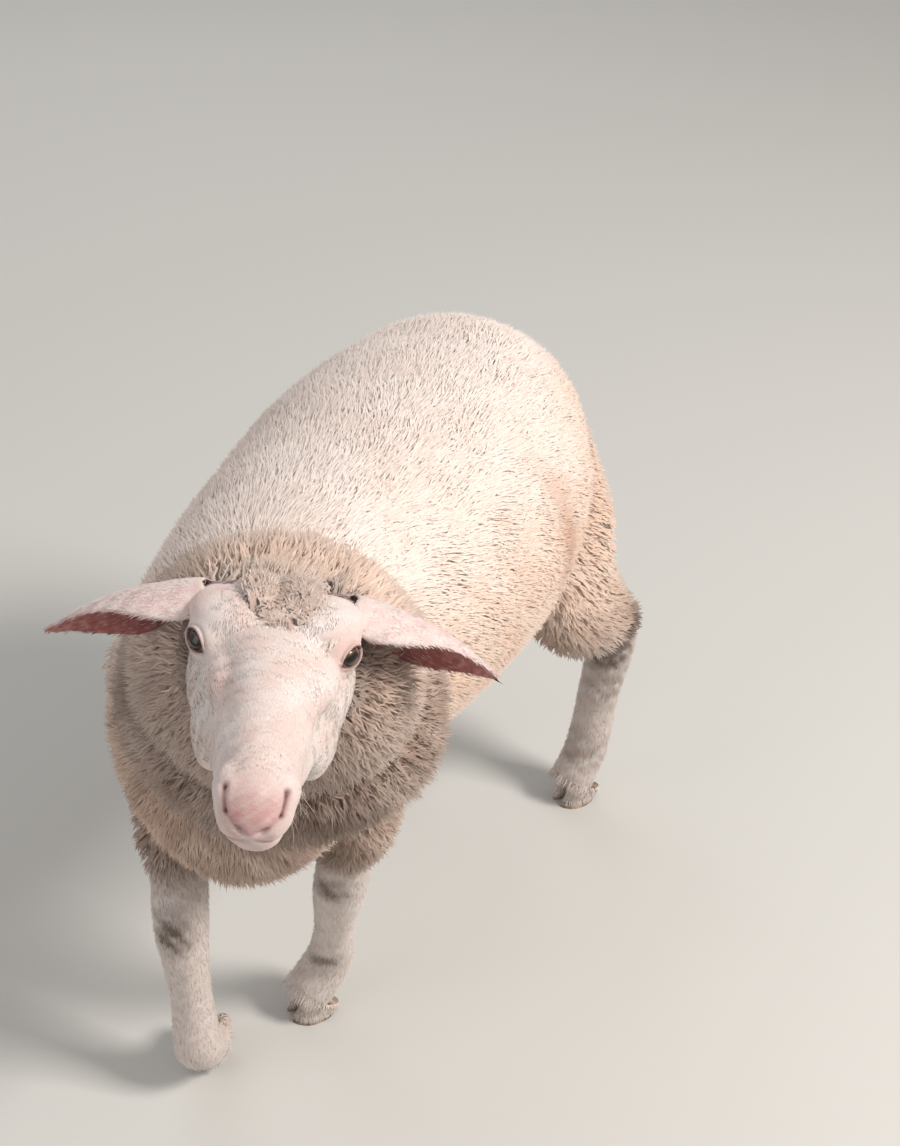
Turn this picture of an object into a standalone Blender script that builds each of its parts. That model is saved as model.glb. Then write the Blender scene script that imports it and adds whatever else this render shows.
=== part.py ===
"""A shorn sheep that stands and looks up to its left, at life size.

X runs to the sheep's left, the head is towards -Y, and Z is up. The floor is Z = 0, and the
origin is at the middle of the bounding box's foot.
The forms are lofts of oval sections, fused by a voxel remesh, and parted again by thin cuts.
The outline is that of the coat's tips: short fleece on the trunk, a deep ruff round the neck.
"""

import math

import bmesh
import bpy
from mathutils import Euler, Matrix, Vector

# Gap between neighbouring pieces.
GAP = 0.0003

LEFT = 1
RIGHT = -1

# Head: its eye midpoint, and how it is turned. All head sizes are in the head's own frame,
# X to the sheep's left, Y towards the poll and Z to the crown.
EYE_MIDPOINT = Vector((0.189, -0.478, 0.790))
HEAD_TURN_LEFT = math.radians(27)
NOSE_LIFT = math.radians(10.5)
HEAD_TILT_LEFT = math.radians(7)

# Head sections: X, Y and Z of the middle, half width, reach up, reach down.
HEAD = (
    (0.000, 0.105, -0.015, 0.020, 0.015, 0.015),
    (0.000, 0.090, -0.018, 0.048, 0.036, 0.045),
    (0.000, 0.055, -0.025, 0.064, 0.052, 0.066),
    (0.000, 0.010, -0.028, 0.064, 0.062, 0.066),
    (0.000, -0.035, -0.034, 0.053, 0.060, 0.052),
    (0.000, -0.080, -0.036, 0.042, 0.050, 0.043),
    (0.000, -0.122, -0.038, 0.0325, 0.039, 0.035),
    (0.000, -0.150, -0.040, 0.0295, 0.033, 0.031),
    (0.000, -0.167, -0.041, 0.025, 0.024, 0.024),
    (0.000, -0.176, -0.042, 0.012, 0.010, 0.010),
)

# Swellings on each side of the head: centre (X for the left side) and half axes.
HEAD_SWELLINGS = {
    "brow": ((0.031, 0.026, 0.022), (0.037, 0.040, 0.018)),
    "orbit": ((0.041, 0.007, 0.003), (0.021, 0.027, 0.021)),
    "cheek": ((0.036, 0.010, -0.060), (0.022, 0.055, 0.040)),
    "nostril wing": ((0.017, -0.146, -0.030), (0.015, 0.023, 0.018)),
}

EYE_RADIUS = 0.0135
EYE_PLACE = Vector((0.0530, 0.000, 0.006))

EAR_LENGTH = 0.144
EAR_ARCH = 0.008
EAR_WIDTH = 0.044
EAR_THICKNESS = 0.0028
EAR_BASE = Vector((0.052, 0.062, 0.028))
EAR_DROOP = math.radians(27)
EAR_BACK = math.radians(6)
EAR_OPENING = math.radians(-43)
EAR_ROOT_CURL = math.radians(160)
EAR_TIP_CURL = math.radians(70)

# Trunk sections: X, Y and Z of the middle, half width, reach up, reach down.
TRUNK = (
    (0.012, -0.333, 0.515, 0.020, 0.020, 0.020),
    (0.012, -0.320, 0.504, 0.108, 0.090, 0.146),
    (0.012, -0.250, 0.518, 0.147, 0.147, 0.192),
    (0.007, -0.150, 0.530, 0.165, 0.170, 0.190),
    (0.000, 0.000, 0.522, 0.192, 0.176, 0.195),
    (-0.006, 0.120, 0.518, 0.205, 0.182, 0.194),
    (-0.009, 0.225, 0.528, 0.193, 0.170, 0.170),
    (-0.010, 0.310, 0.540, 0.157, 0.148, 0.145),
    (-0.004, 0.365, 0.545, 0.105, 0.100, 0.105),
    (-0.002, 0.388, 0.545, 0.030, 0.030, 0.030),
)

# Neck sections: centre, half width, reach to the throat, reach to the nape.
NECK = (
    ((0.010, -0.150, 0.540), 0.120, 0.120, 0.120),
    ((0.054, -0.250, 0.556), 0.154, 0.152, 0.135),
    ((0.101, -0.318, 0.602), 0.153, 0.148, 0.130),
    ((0.112, -0.350, 0.650), 0.134, 0.126, 0.116),
    ((0.132, -0.376, 0.696), 0.128, 0.118, 0.112),
    ((0.146, -0.392, 0.742), 0.106, 0.096, 0.096),
    ((0.156, -0.402, 0.785), 0.074, 0.064, 0.070),
)

# Tail sections: centre, half width, reach back, reach forward.
TAIL = (
    ((-0.004, 0.330, 0.622), 0.025, 0.025, 0.025),
    ((-0.004, 0.372, 0.605), 0.034, 0.030, 0.030),
    ((-0.004, 0.398, 0.560), 0.038, 0.028, 0.028),
    ((-0.004, 0.403, 0.500), 0.034, 0.025, 0.025),
    ((-0.004, 0.397, 0.450), 0.013, 0.011, 0.011),
)

# Each leg: the middles of its joints from the body down, the point on the floor under the middle
# of its toes, and how far the toes turn outward. The right fore foot is in mid step: its pastern is
# folded back, and only the tips of its claws touch the floor.
FRONT_LEGS = {
    "left": {
        "shoulder": Vector((0.100, -0.195, 0.540)),
        "elbow": Vector((0.098, -0.180, 0.385)),
        "knee": Vector((0.062, -0.155, 0.232)),
        "fetlock": Vector((0.026, -0.118, 0.082)),
        "coronet": Vector((0.009, -0.129, 0.040)),
        "toe": Vector((-0.010, -0.152, 0.000)),
    },
    "right": {
        "shoulder": Vector((-0.095, -0.205, 0.540)),
        "elbow": Vector((-0.078, -0.235, 0.385)),
        "knee": Vector((-0.056, -0.279, 0.236)),
        "fetlock": Vector((-0.045, -0.284, 0.070)),
        "coronet": Vector((-0.053, -0.261, 0.045)),
        "toe": Vector((-0.064, -0.230, 0.000)),
    },
}
HIND_LEGS = {
    "left": {
        "hip": Vector((0.090, 0.250, 0.550)),
        "thigh": Vector((0.122, 0.262, 0.455)),
        "stifle": Vector((0.142, 0.262, 0.385)),
        "hock": Vector((0.162, 0.368, 0.255)),
        "fetlock": Vector((0.144, 0.358, 0.085)),
        "coronet": Vector((0.133, 0.348, 0.040)),
        "toe": Vector((0.119, 0.326, 0.000)),
    },
    "right": {
        "hip": Vector((-0.098, 0.235, 0.550)),
        "thigh": Vector((-0.112, 0.225, 0.455)),
        "stifle": Vector((-0.118, 0.215, 0.385)),
        "hock": Vector((-0.122, 0.305, 0.255)),
        "fetlock": Vector((-0.118, 0.285, 0.085)),
        "coronet": Vector((-0.118, 0.270, 0.040)),
        "toe": Vector((-0.119, 0.242, 0.000)),
    },
}

# Half width, reach forward and reach back at each joint and halfway to the next one.
FRONT_GIRTH = {
    "shoulder": (0.058, 0.085, 0.085),
    "elbow": (0.046, 0.060, 0.064),
    "forearm": (0.036, 0.042, 0.044),
    "knee": (0.033, 0.034, 0.032),
    "cannon": (0.0255, 0.026, 0.027),
    "fetlock": (0.030, 0.029, 0.034),
    "coronet": (0.031, 0.030, 0.030),
}
HIND_GIRTH = {
    "hip": (0.070, 0.105, 0.100),
    "thigh": (0.068, 0.105, 0.100),
    "stifle": (0.056, 0.078, 0.080),
    "gaskin": (0.044, 0.056, 0.054),
    "hock": (0.036, 0.040, 0.042),
    "cannon": (0.030, 0.029, 0.030),
    "fetlock": (0.031, 0.030, 0.034),
    "coronet": (0.031, 0.030, 0.030),
}

# Claws: two on each foot, each a wedge with a flat sole. They start a little below the coronet, lean
# back as they rise and come to a blunt point in front.
CLAW_LENGTH = 0.051
CLAW_WIDTH = 0.0225
CLAW_CLEFT = 0.0035
CLAW_HEIGHT = 0.050
CLAW_SLOPE = 0.42
CLAW_POINT = 0.35
CLAW_SIDES = 16
CORONET_SHARE = 0.12
CORONET_SPARE = 0.018

# The folded foot's soles face back, and its tips are cut this much flat.
FOLDED_SOLE_TILT = math.radians(75)
TIP_FLAT = 0.0025

# Resolution of the fused forms, and the share of their faces that is kept.
BODY_VOXEL = 0.0075
BODY_FACES_KEPT = 0.044
HEAD_VOXEL = 0.003
HEAD_FACES_KEPT = 0.048

# The neck leaves the trunk at a plane: a point on it, and the direction of the neck.
NECK_ROOT = (Vector((0.030, -0.235, 0.555)), Vector((0.35, -0.85, 0.30)))

# How much wider than a leg or the tail the cut is that parts it from the trunk, and how far
# outward its root is moved, so that it meets the flank squarely.
ROOT_GROWTH = 1.15
ROOT_MARGIN = 0.010
ROOT_OUTWARD = 0.045

MATERIALS = {
    "fleece": ((0.80, 0.68, 0.52), 0.95),
    "face hair": ((0.86, 0.76, 0.70), 0.80),
    "ear skin": ((0.80, 0.58, 0.52), 0.60),
    "leg hair": ((0.78, 0.70, 0.62), 0.85),
    "claw horn": ((0.16, 0.12, 0.09), 0.45),
    "eye": ((0.20, 0.12, 0.05), 0.05),
}


def clear_scene():
    for obj in list(bpy.data.objects):
        bpy.data.objects.remove(obj)


def make_materials():
    for name, (colour, roughness) in MATERIALS.items():
        made = bpy.data.materials.new(name)
        made.use_nodes = True
        shader = made.node_tree.nodes["Principled BSDF"]
        shader.inputs["Base Color"].default_value = (*colour, 1)
        shader.inputs["Roughness"].default_value = roughness
        shader.inputs["Metallic"].default_value = 0


def finish_with(obj, material_name):
    obj.data.materials.clear()
    obj.data.materials.append(bpy.data.materials[material_name])


def head_matrix():
    turn = Euler((0, 0, HEAD_TURN_LEFT)).to_matrix()
    lift = Euler((-NOSE_LIFT, 0, 0)).to_matrix()
    tilt = Euler((0, HEAD_TILT_LEFT, 0)).to_matrix()
    return Matrix.Translation(EYE_MIDPOINT) @ (turn @ lift @ tilt).to_4x4()


def on_curve(values, place):
    """The value at a place along a row of values, on a smooth curve through them."""
    last = len(values) - 1
    index = min(int(place), last - 1)
    t = place - index
    before = values[max(index - 1, 0)]
    start = values[index]
    end = values[index + 1]
    after = values[min(index + 2, last)]
    return 0.5 * (
        2 * start
        + (end - before) * t
        + (2 * before - 5 * start + 4 * end - after) * t * t
        + (3 * start - before - 3 * end + after) * t**3
    )


def resample(stations, rings_between):
    """More stations, on smooth curves through the given ones. A station is a row of numbers."""
    columns = list(zip(*stations))
    count = (len(stations) - 1) * rings_between
    return [[on_curve(column, ring / rings_between) for column in columns] for ring in range(count + 1)]


def close_loft(bm, loops):
    """Skins a row of equal loops and caps its ends."""
    sides = len(loops[0])
    for first, second in zip(loops, loops[1:]):
        for step in range(sides):
            after = (step + 1) % sides
            bm.faces.new((first[step], first[after], second[after], second[step]))
    bm.faces.new(list(reversed(loops[0])))
    bm.faces.new(loops[-1])


def add_loft(bm, rings, sides=28, matrix=Matrix()):
    """Each ring is its centre, the directions of its sides and of its top, half width, high, low."""
    loops = []
    for centre, side, up, half_width, high, low in rings:
        loop = []
        for step in range(sides):
            angle = 2 * math.pi * step / sides
            reach = high if math.sin(angle) > 0 else low
            point = centre + side * (half_width * math.cos(angle)) + up * (reach * math.sin(angle))
            loop.append(bm.verts.new(matrix @ point))
        loops.append(loop)
    close_loft(bm, loops)


def add_level_loft(bm, sections, matrix=Matrix()):
    """A loft along Y whose sections stand upright."""
    rings = []
    for row in resample(sections, 4):
        rings.append((Vector(row[:3]), Vector((1, 0, 0)), Vector((0, 0, 1)), *row[3:]))
    add_loft(bm, rings, matrix=matrix)


def add_limb(bm, sections, side_hint, rings_between=4, sides=24):
    """A loft square to its own path: centre, half width, reach forward, reach back."""
    rows = resample([(*centre, *sizes) for centre, *sizes in sections], rings_between)
    centres = [Vector(row[:3]) for row in rows]
    rings = []
    for index, row in enumerate(rows):
        ahead = centres[min(index + 1, len(rows) - 1)]
        behind = centres[max(index - 1, 0)]
        along = (ahead - behind).normalized()
        forward = along.cross(side_hint).normalized()
        side = forward.cross(along).normalized()
        rings.append((centres[index], side, forward, *row[3:]))
    add_loft(bm, rings, sides)


def add_ball(bm, centre, half_axes, matrix=Matrix()):
    place = matrix @ Matrix.Translation(centre) @ Matrix.Diagonal((*half_axes, 1))
    bmesh.ops.create_uvsphere(bm, u_segments=24, v_segments=16, radius=1, matrix=place)


def mesh_object(name, bm):
    bmesh.ops.recalc_face_normals(bm, faces=bm.faces)
    mesh = bpy.data.meshes.new(name)
    bm.to_mesh(mesh)
    bm.free()
    obj = bpy.data.objects.new(name, mesh)
    bpy.context.scene.collection.objects.link(obj)
    return obj


def apply_modifiers(obj):
    bpy.context.view_layer.update()
    graph = bpy.context.evaluated_depsgraph_get()
    mesh = bpy.data.meshes.new_from_object(obj.evaluated_get(graph))
    obj.modifiers.clear()
    obj.data = mesh


def fuse(obj, voxel, rounds, kept):
    """Joins overlapping forms into one skin, softens it and thins out its faces."""
    remesh = obj.modifiers.new("fuse", "REMESH")
    remesh.mode = "VOXEL"
    remesh.voxel_size = voxel
    soften = obj.modifiers.new("soften", "SMOOTH")
    soften.factor = 0.5
    soften.iterations = rounds
    thin = obj.modifiers.new("thin", "DECIMATE")
    thin.ratio = kept
    thin.use_collapse_triangulate = True
    apply_modifiers(obj)


def subtract(obj, cutter):
    boolean = obj.modifiers.new("cut", "BOOLEAN")
    boolean.operation = "DIFFERENCE"
    boolean.solver = "EXACT"
    boolean.object = cutter
    apply_modifiers(obj)


def remove(obj):
    bpy.data.objects.remove(obj)


def facing(point, direction):
    """A frame at the point whose Z is the direction."""
    turn = Vector(direction).to_track_quat("Z", "Y").to_matrix().to_4x4()
    return Matrix.Translation(point) @ turn


def block(matrix, half_sizes):
    bm = bmesh.new()
    bmesh.ops.create_cube(bm, size=2, matrix=matrix @ Matrix.Diagonal((*half_sizes, 1)))
    return mesh_object("cutter", bm)


def grown_copy(obj, distance):
    """The object's shape with every face moved out by the distance, as a cutter."""
    copy = bpy.data.objects.new("cutter", obj.data.copy())
    bpy.context.scene.collection.objects.link(copy)
    swell = copy.modifiers.new("swell", "DISPLACE")
    swell.strength = distance
    swell.mid_level = 0
    apply_modifiers(copy)
    return copy


def take_out(obj, neighbour):
    """Makes room for the neighbour, with a thin gap."""
    cutter = grown_copy(neighbour, GAP)
    subtract(obj, cutter)
    remove(cutter)


def close_to_claws(sections, joints):
    """Runs the leg on past the coronet, where it is cut off square."""
    last = sections[-1]
    along = (joints["toe"] - joints["coronet"]).normalized()
    return [*sections, (last[0] + along * CORONET_SPARE, *last[1:])]


def front_leg_sections(side):
    joints = FRONT_LEGS[side]
    path = dict(joints)
    path["forearm"] = joints["elbow"].lerp(joints["knee"], 0.55)
    path["cannon"] = joints["knee"].lerp(joints["fetlock"], 0.55)
    return close_to_claws([(path[name], *FRONT_GIRTH[name]) for name in FRONT_GIRTH], joints)


def hind_leg_sections(side):
    joints = HIND_LEGS[side]
    path = dict(joints)
    path["gaskin"] = joints["stifle"].lerp(joints["hock"], 0.55)
    path["cannon"] = joints["hock"].lerp(joints["fetlock"], 0.50)
    return close_to_claws([(path[name], *HIND_GIRTH[name]) for name in HIND_GIRTH], joints)


def make_body():
    """Trunk, neck, tail and legs as one skin."""
    bm = bmesh.new()
    add_level_loft(bm, TRUNK)
    add_limb(bm, NECK, Vector((1, 0.3, 0)))
    add_limb(bm, TAIL, Vector((1, 0, 0)))
    for side in ("left", "right"):
        add_limb(bm, front_leg_sections(side), Vector((1, 0, 0)))
        add_limb(bm, hind_leg_sections(side), Vector((1, 0, 0)))
    obj = mesh_object("trunk", bm)
    fuse(obj, BODY_VOXEL, 5, BODY_FACES_KEPT)
    return obj


def make_head():
    place = head_matrix()
    bm = bmesh.new()
    add_level_loft(bm, HEAD, place)
    for side in (LEFT, RIGHT):
        for (x, y, z), half_axes in HEAD_SWELLINGS.values():
            add_ball(bm, Vector((side * x, y, z)), half_axes, place)
    obj = mesh_object("head", bm)
    fuse(obj, HEAD_VOXEL, 5, HEAD_FACES_KEPT)
    finish_with(obj, "face hair")
    return obj


def make_eye(side):
    bm = bmesh.new()
    centre = Vector((side * EYE_PLACE.x, EYE_PLACE.y, EYE_PLACE.z))
    place = head_matrix() @ Matrix.Translation(centre)
    bmesh.ops.create_icosphere(bm, subdivisions=2, radius=EYE_RADIUS, matrix=place)
    obj = mesh_object("eye_left" if side == LEFT else "eye_right", bm)
    finish_with(obj, "eye")
    return obj


def make_ear(side):
    """A leaf-shaped sheet, rolled at its root, its hollow turned down and forward."""
    rings = 11
    across = 5
    bm = bmesh.new()
    mirror = Matrix.Diagonal((side, 1, 1, 1))
    pose = Euler((EAR_OPENING, EAR_DROOP, EAR_BACK)).to_matrix().to_4x4()
    place = head_matrix() @ mirror @ Matrix.Translation(EAR_BASE) @ pose
    rows = []
    for ring in range(rings):
        t = ring / (rings - 1)
        swell = 0.55 + 0.45 * math.sin(math.pi * min(t + 0.12, 1)) ** 0.7
        half_width = EAR_WIDTH * swell * (1 - t**4) + 0.0015
        curl = EAR_ROOT_CURL + (EAR_TIP_CURL - EAR_ROOT_CURL) * t**2
        radius = half_width / (curl / 2)
        outer = []
        inner = []
        for step in range(across):
            across_share = 2 * step / (across - 1) - 1
            angle = across_share * curl / 2
            normal = Vector((0, -math.sin(angle), math.cos(angle)))
            middle = Vector((t * EAR_LENGTH, 0, EAR_ARCH * math.sin(math.pi * t) - radius)) + normal * radius
            thick = min(EAR_THICKNESS, 0.3 * half_width) * (1 - 0.5 * abs(across_share))
            outer.append(middle + normal * thick)
            inner.append(middle - normal * thick)
        rows.append([[bm.verts.new(place @ point) for point in face] for face in (outer, inner)])
    for (outer, inner), (next_outer, next_inner) in zip(rows, rows[1:]):
        for a, b in zip(range(across - 1), range(1, across)):
            bm.faces.new((outer[a], outer[b], next_outer[b], next_outer[a]))
            bm.faces.new((inner[b], inner[a], next_inner[a], next_inner[b]))
        for edge, turned in ((0, False), (across - 1, True)):
            rim = [outer[edge], next_outer[edge], next_inner[edge], inner[edge]]
            bm.faces.new(rim[::-1] if turned else rim)
    for outer, inner in (rows[0], rows[-1]):
        for a, b in zip(range(across - 1), range(1, across)):
            bm.faces.new((outer[a], inner[a], inner[b], outer[b]))
    bmesh.ops.triangulate(bm, faces=bm.faces)
    obj = mesh_object("ear_left" if side == LEFT else "ear_right", bm)
    finish_with(obj, "ear skin")
    return obj


def coronet_point(joints):
    return joints["coronet"].lerp(joints["toe"], CORONET_SHARE)


def coronet_normal(joints):
    """From the claws towards the leg, square to the pastern."""
    return (joints["fetlock"] - joints["toe"]).normalized()


def cut_flat(bm, point, direction):
    """Cuts away what is beyond the plane, and closes the cut."""
    geometry = bm.verts[:] + bm.edges[:] + bm.faces[:]
    cut = bmesh.ops.bisect_plane(bm, geom=geometry, plane_co=point, plane_no=direction, clear_outer=True)
    rim = [item for item in cut["geom_cut"] if isinstance(item, bmesh.types.BMEdge)]
    if rim:
        bmesh.ops.contextual_create(bm, geom=rim)


def make_claws(foot, joints):
    """Two wedges side by side under the coronet, cut flat where they meet the leg and the floor.
    On a folded foot the claws tip forward until their soles face back."""
    along = joints["toe"] - joints["coronet"]
    folded = along.y > 0
    heel_to_toe = Vector((along.x, along.y, 0)).normalized() * (-1 if folded else 1)
    side = Vector((0, 0, 1)).cross(heel_to_toe).normalized()
    tipped = Matrix.Rotation(FOLDED_SOLE_TILT if folded else 0, 3, side)
    forward = tipped @ heel_to_toe
    up = tipped @ Vector((0, 0, 1))
    middle = joints["toe"] - forward * (CLAW_LENGTH / 2)
    for which in (LEFT, RIGHT):
        bm = bmesh.new()
        loops = []
        for share in (0, 0.5, 1):
            loop = []
            for step in range(CLAW_SIDES):
                angle = 2 * math.pi * step / CLAW_SIDES
                pointed = 1 - CLAW_POINT * max(math.sin(angle), 0) ** 3
                across = CLAW_WIDTH / 2 * (1 + math.cos(angle) * (1 - 0.22 * share)) * pointed
                lengthwise = CLAW_LENGTH / 2 * math.sin(angle) * (1 - 0.18 * share)
                point = (
                    middle
                    + side * (which * (CLAW_CLEFT / 2 + across))
                    + forward * (lengthwise - share * CLAW_HEIGHT * CLAW_SLOPE)
                    + up * (share * CLAW_HEIGHT)
                )
                loop.append(bm.verts.new(point))
            loops.append(loop)
        close_loft(bm, loops)
        if folded:
            lift = -min(vert.co.z for vert in bm.verts) - TIP_FLAT
            bmesh.ops.translate(bm, verts=bm.verts, vec=(0, 0, lift))
        cut_flat(bm, Vector((0, 0, 0)), Vector((0, 0, -1)))
        cut_flat(bm, coronet_point(joints) - coronet_normal(joints) * (GAP / 2), coronet_normal(joints))
        bmesh.ops.triangulate(bm, faces=bm.faces)
        place = "outer" if (which == LEFT) == foot.endswith("left") else "inner"
        obj = mesh_object(f"claw_{foot}_{place}", bm)
        finish_with(obj, "claw horn")


def trim_leg(obj, joints):
    """Takes away what the leg's loft has below the coronet."""
    half = 0.06
    up = coronet_normal(joints)
    cutter = block(facing(coronet_point(joints) + up * (GAP / 2 - half), up), (half, half, half))
    subtract(obj, cutter)
    remove(cutter)


def keep_largest(obj):
    """Drops crumbs: closed shells other than the one with the most faces."""
    bm = bmesh.new()
    bm.from_mesh(obj.data)
    left = set(bm.faces)
    shells = []
    while left:
        shell = set()
        rim = [next(iter(left))]
        while rim:
            face = rim.pop()
            if face not in shell:
                shell.add(face)
                rim += [other for edge in face.edges for other in edge.link_faces]
        left -= shell
        shells.append(shell)
    shells.sort(key=len)
    for shell in shells[:-1]:
        bmesh.ops.delete(bm, geom=list(shell), context="FACES")
    bm.to_mesh(obj.data)
    bm.free()


def keep_common(obj, cutter):
    boolean = obj.modifiers.new("keep", "BOOLEAN")
    boolean.operation = "INTERSECT"
    boolean.solver = "EXACT"
    boolean.object = cutter
    apply_modifiers(obj)


def part_off(body, name, region):
    """Gives the body's share inside the region its own object, with a thin gap to the rest."""
    piece = bpy.data.objects.new(name, body.data.copy())
    bpy.context.scene.collection.objects.link(piece)
    keep_common(piece, region)
    grown = grown_copy(region, GAP)
    subtract(body, grown)
    for obj in (piece, body):
        keep_largest(obj)
    remove(grown)
    remove(region)
    return piece


def limb_region(sections, outward=0):
    """A loft a little wider than the limb's own, which runs on past its end."""
    grown = []
    for index, (centre, *sizes) in enumerate(sections):
        shift = Vector((outward * max(1 - index / 3, 0), 0, 0))
        grown.append((Vector(centre) + shift, *(ROOT_GROWTH * size + ROOT_MARGIN for size in sizes)))
    end, before = grown[-1], grown[-2]
    grown.append((end[0] + (end[0] - before[0]).normalized() * CORONET_SPARE, *end[1:]))
    bm = bmesh.new()
    add_limb(bm, grown, Vector((1, 0, 0)), rings_between=1, sides=12)
    bmesh.ops.triangulate(bm, faces=bm.faces)
    return mesh_object("cutter", bm)


def neck_region():
    point, direction = NECK_ROOT
    reach = 0.30
    return block(facing(point + direction.normalized() * reach, direction), (reach, reach, reach))


def set_on_origin():
    """Moves everything level until the bounding box's middle is over the origin."""
    points = [vert.co for obj in bpy.data.objects for vert in obj.data.vertices]
    middle = [(min(p[axis] for p in points) + max(p[axis] for p in points)) / 2 for axis in (0, 1)]
    for obj in bpy.data.objects:
        obj.data.transform(Matrix.Translation((-middle[0], -middle[1], 0)))


def main():
    clear_scene()
    make_materials()
    trunk = make_body()
    for side in ("left", "right"):
        for end, joints in (("front", FRONT_LEGS[side]), ("hind", HIND_LEGS[side])):
            trim_leg(trunk, joints)
            make_claws(f"{end}_{side}", joints)
    head = make_head()
    take_out(trunk, head)
    for side in (LEFT, RIGHT):
        ear = make_ear(side)
        take_out(ear, head)
        take_out(trunk, ear)
        keep_largest(ear)
    for side in (LEFT, RIGHT):
        take_out(head, make_eye(side))
    finish_with(trunk, "fleece")
    for side, outward in (("left", ROOT_OUTWARD), ("right", -ROOT_OUTWARD)):
        for end, sections in (("front", front_leg_sections(side)), ("hind", hind_leg_sections(side))):
            leg = part_off(trunk, f"leg_{end}_{side}", limb_region(sections, outward))
            finish_with(leg, "leg hair")
    part_off(trunk, "tail", limb_region(TAIL))
    part_off(trunk, "neck", neck_region())
    set_on_origin()


main()
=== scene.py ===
import math
from contextlib import contextmanager

import bmesh
import bpy
import numpy as np
from mathutils import Euler, Matrix, Vector
from mathutils.bvhtree import BVHTree
from mathutils.kdtree import KDTree


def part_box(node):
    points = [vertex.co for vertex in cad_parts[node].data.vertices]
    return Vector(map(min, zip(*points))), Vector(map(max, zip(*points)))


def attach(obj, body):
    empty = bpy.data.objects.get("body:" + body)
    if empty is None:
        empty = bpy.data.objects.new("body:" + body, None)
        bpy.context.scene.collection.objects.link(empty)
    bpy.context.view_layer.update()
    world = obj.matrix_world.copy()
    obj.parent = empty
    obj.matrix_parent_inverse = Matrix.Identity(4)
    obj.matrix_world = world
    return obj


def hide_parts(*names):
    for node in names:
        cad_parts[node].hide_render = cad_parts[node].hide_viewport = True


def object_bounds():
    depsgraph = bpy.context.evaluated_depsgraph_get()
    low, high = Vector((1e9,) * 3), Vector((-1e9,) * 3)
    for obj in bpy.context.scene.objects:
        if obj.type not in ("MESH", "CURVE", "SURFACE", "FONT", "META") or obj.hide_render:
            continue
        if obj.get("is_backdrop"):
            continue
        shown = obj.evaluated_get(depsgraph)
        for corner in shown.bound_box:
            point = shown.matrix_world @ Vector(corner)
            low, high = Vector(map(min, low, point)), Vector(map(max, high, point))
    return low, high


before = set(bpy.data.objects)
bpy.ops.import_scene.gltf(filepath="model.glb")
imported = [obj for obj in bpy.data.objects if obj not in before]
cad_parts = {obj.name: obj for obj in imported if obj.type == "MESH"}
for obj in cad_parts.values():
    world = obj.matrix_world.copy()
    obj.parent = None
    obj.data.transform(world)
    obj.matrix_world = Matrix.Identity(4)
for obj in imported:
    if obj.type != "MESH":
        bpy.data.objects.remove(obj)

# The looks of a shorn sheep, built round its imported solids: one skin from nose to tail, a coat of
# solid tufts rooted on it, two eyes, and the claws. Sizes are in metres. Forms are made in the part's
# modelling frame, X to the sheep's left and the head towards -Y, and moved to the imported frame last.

CAD_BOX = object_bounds()
LEFT, RIGHT = 1, -1

# ---------------------------------------------------------------- sizes shared with the solids

HEAD_CENTRE = np.array((0.189, -0.478, 0.790))
HEAD_TURN_LEFT = math.radians(27)
NOSE_LIFT = math.radians(10.5)
HEAD_TILT_LEFT = math.radians(7)

# Head sections: X, Y and Z of the middle, half width, reach up, reach down, in the head's own frame.
HEAD = (
    (0.000, 0.105, -0.015, 0.020, 0.015, 0.015),
    (0.000, 0.090, -0.018, 0.048, 0.036, 0.045),
    (0.000, 0.055, -0.025, 0.064, 0.052, 0.066),
    (0.000, 0.010, -0.028, 0.064, 0.062, 0.066),
    (0.000, -0.035, -0.034, 0.053, 0.060, 0.052),
    (0.000, -0.080, -0.036, 0.042, 0.050, 0.043),
    (0.000, -0.122, -0.038, 0.0325, 0.039, 0.035),
    (0.000, -0.150, -0.040, 0.0295, 0.033, 0.031),
    (0.000, -0.167, -0.041, 0.025, 0.024, 0.024),
    (0.000, -0.176, -0.042, 0.012, 0.010, 0.010),
)
HEAD_SWELLINGS = {
    "brow": ((0.031, 0.026, 0.022), (0.037, 0.040, 0.018)),
    "orbit": ((0.041, 0.007, 0.003), (0.021, 0.027, 0.021)),
    "cheek": ((0.036, 0.010, -0.060), (0.022, 0.055, 0.040)),
    "nostril wing": ((0.017, -0.146, -0.030), (0.015, 0.023, 0.018)),
}
EYE_PLACE = np.array((0.0530, 0.000, 0.006))

EAR_LENGTH = 0.144
EAR_ARCH = 0.008
EAR_WIDTH = 0.044
EAR_THICKNESS = 0.0028
EAR_BASE = (0.052, 0.062, 0.028)
EAR_DROOP = math.radians(27)
EAR_BACK = math.radians(6)
EAR_OPENING = math.radians(-43)
EAR_ROOT_CURL = math.radians(160)
EAR_TIP_CURL = math.radians(70)

# Trunk sections, as the head's.
TRUNK = (
    (0.012, -0.333, 0.515, 0.020, 0.020, 0.020),
    (0.012, -0.320, 0.504, 0.108, 0.090, 0.146),
    (0.012, -0.250, 0.518, 0.147, 0.147, 0.192),
    (0.007, -0.150, 0.530, 0.165, 0.170, 0.190),
    (0.000, 0.000, 0.522, 0.192, 0.176, 0.195),
    (-0.006, 0.120, 0.518, 0.205, 0.182, 0.194),
    (-0.009, 0.225, 0.528, 0.193, 0.170, 0.170),
    (-0.010, 0.310, 0.540, 0.157, 0.148, 0.145),
    (-0.004, 0.365, 0.545, 0.105, 0.100, 0.105),
    (-0.002, 0.388, 0.545, 0.030, 0.030, 0.030),
)

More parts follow.
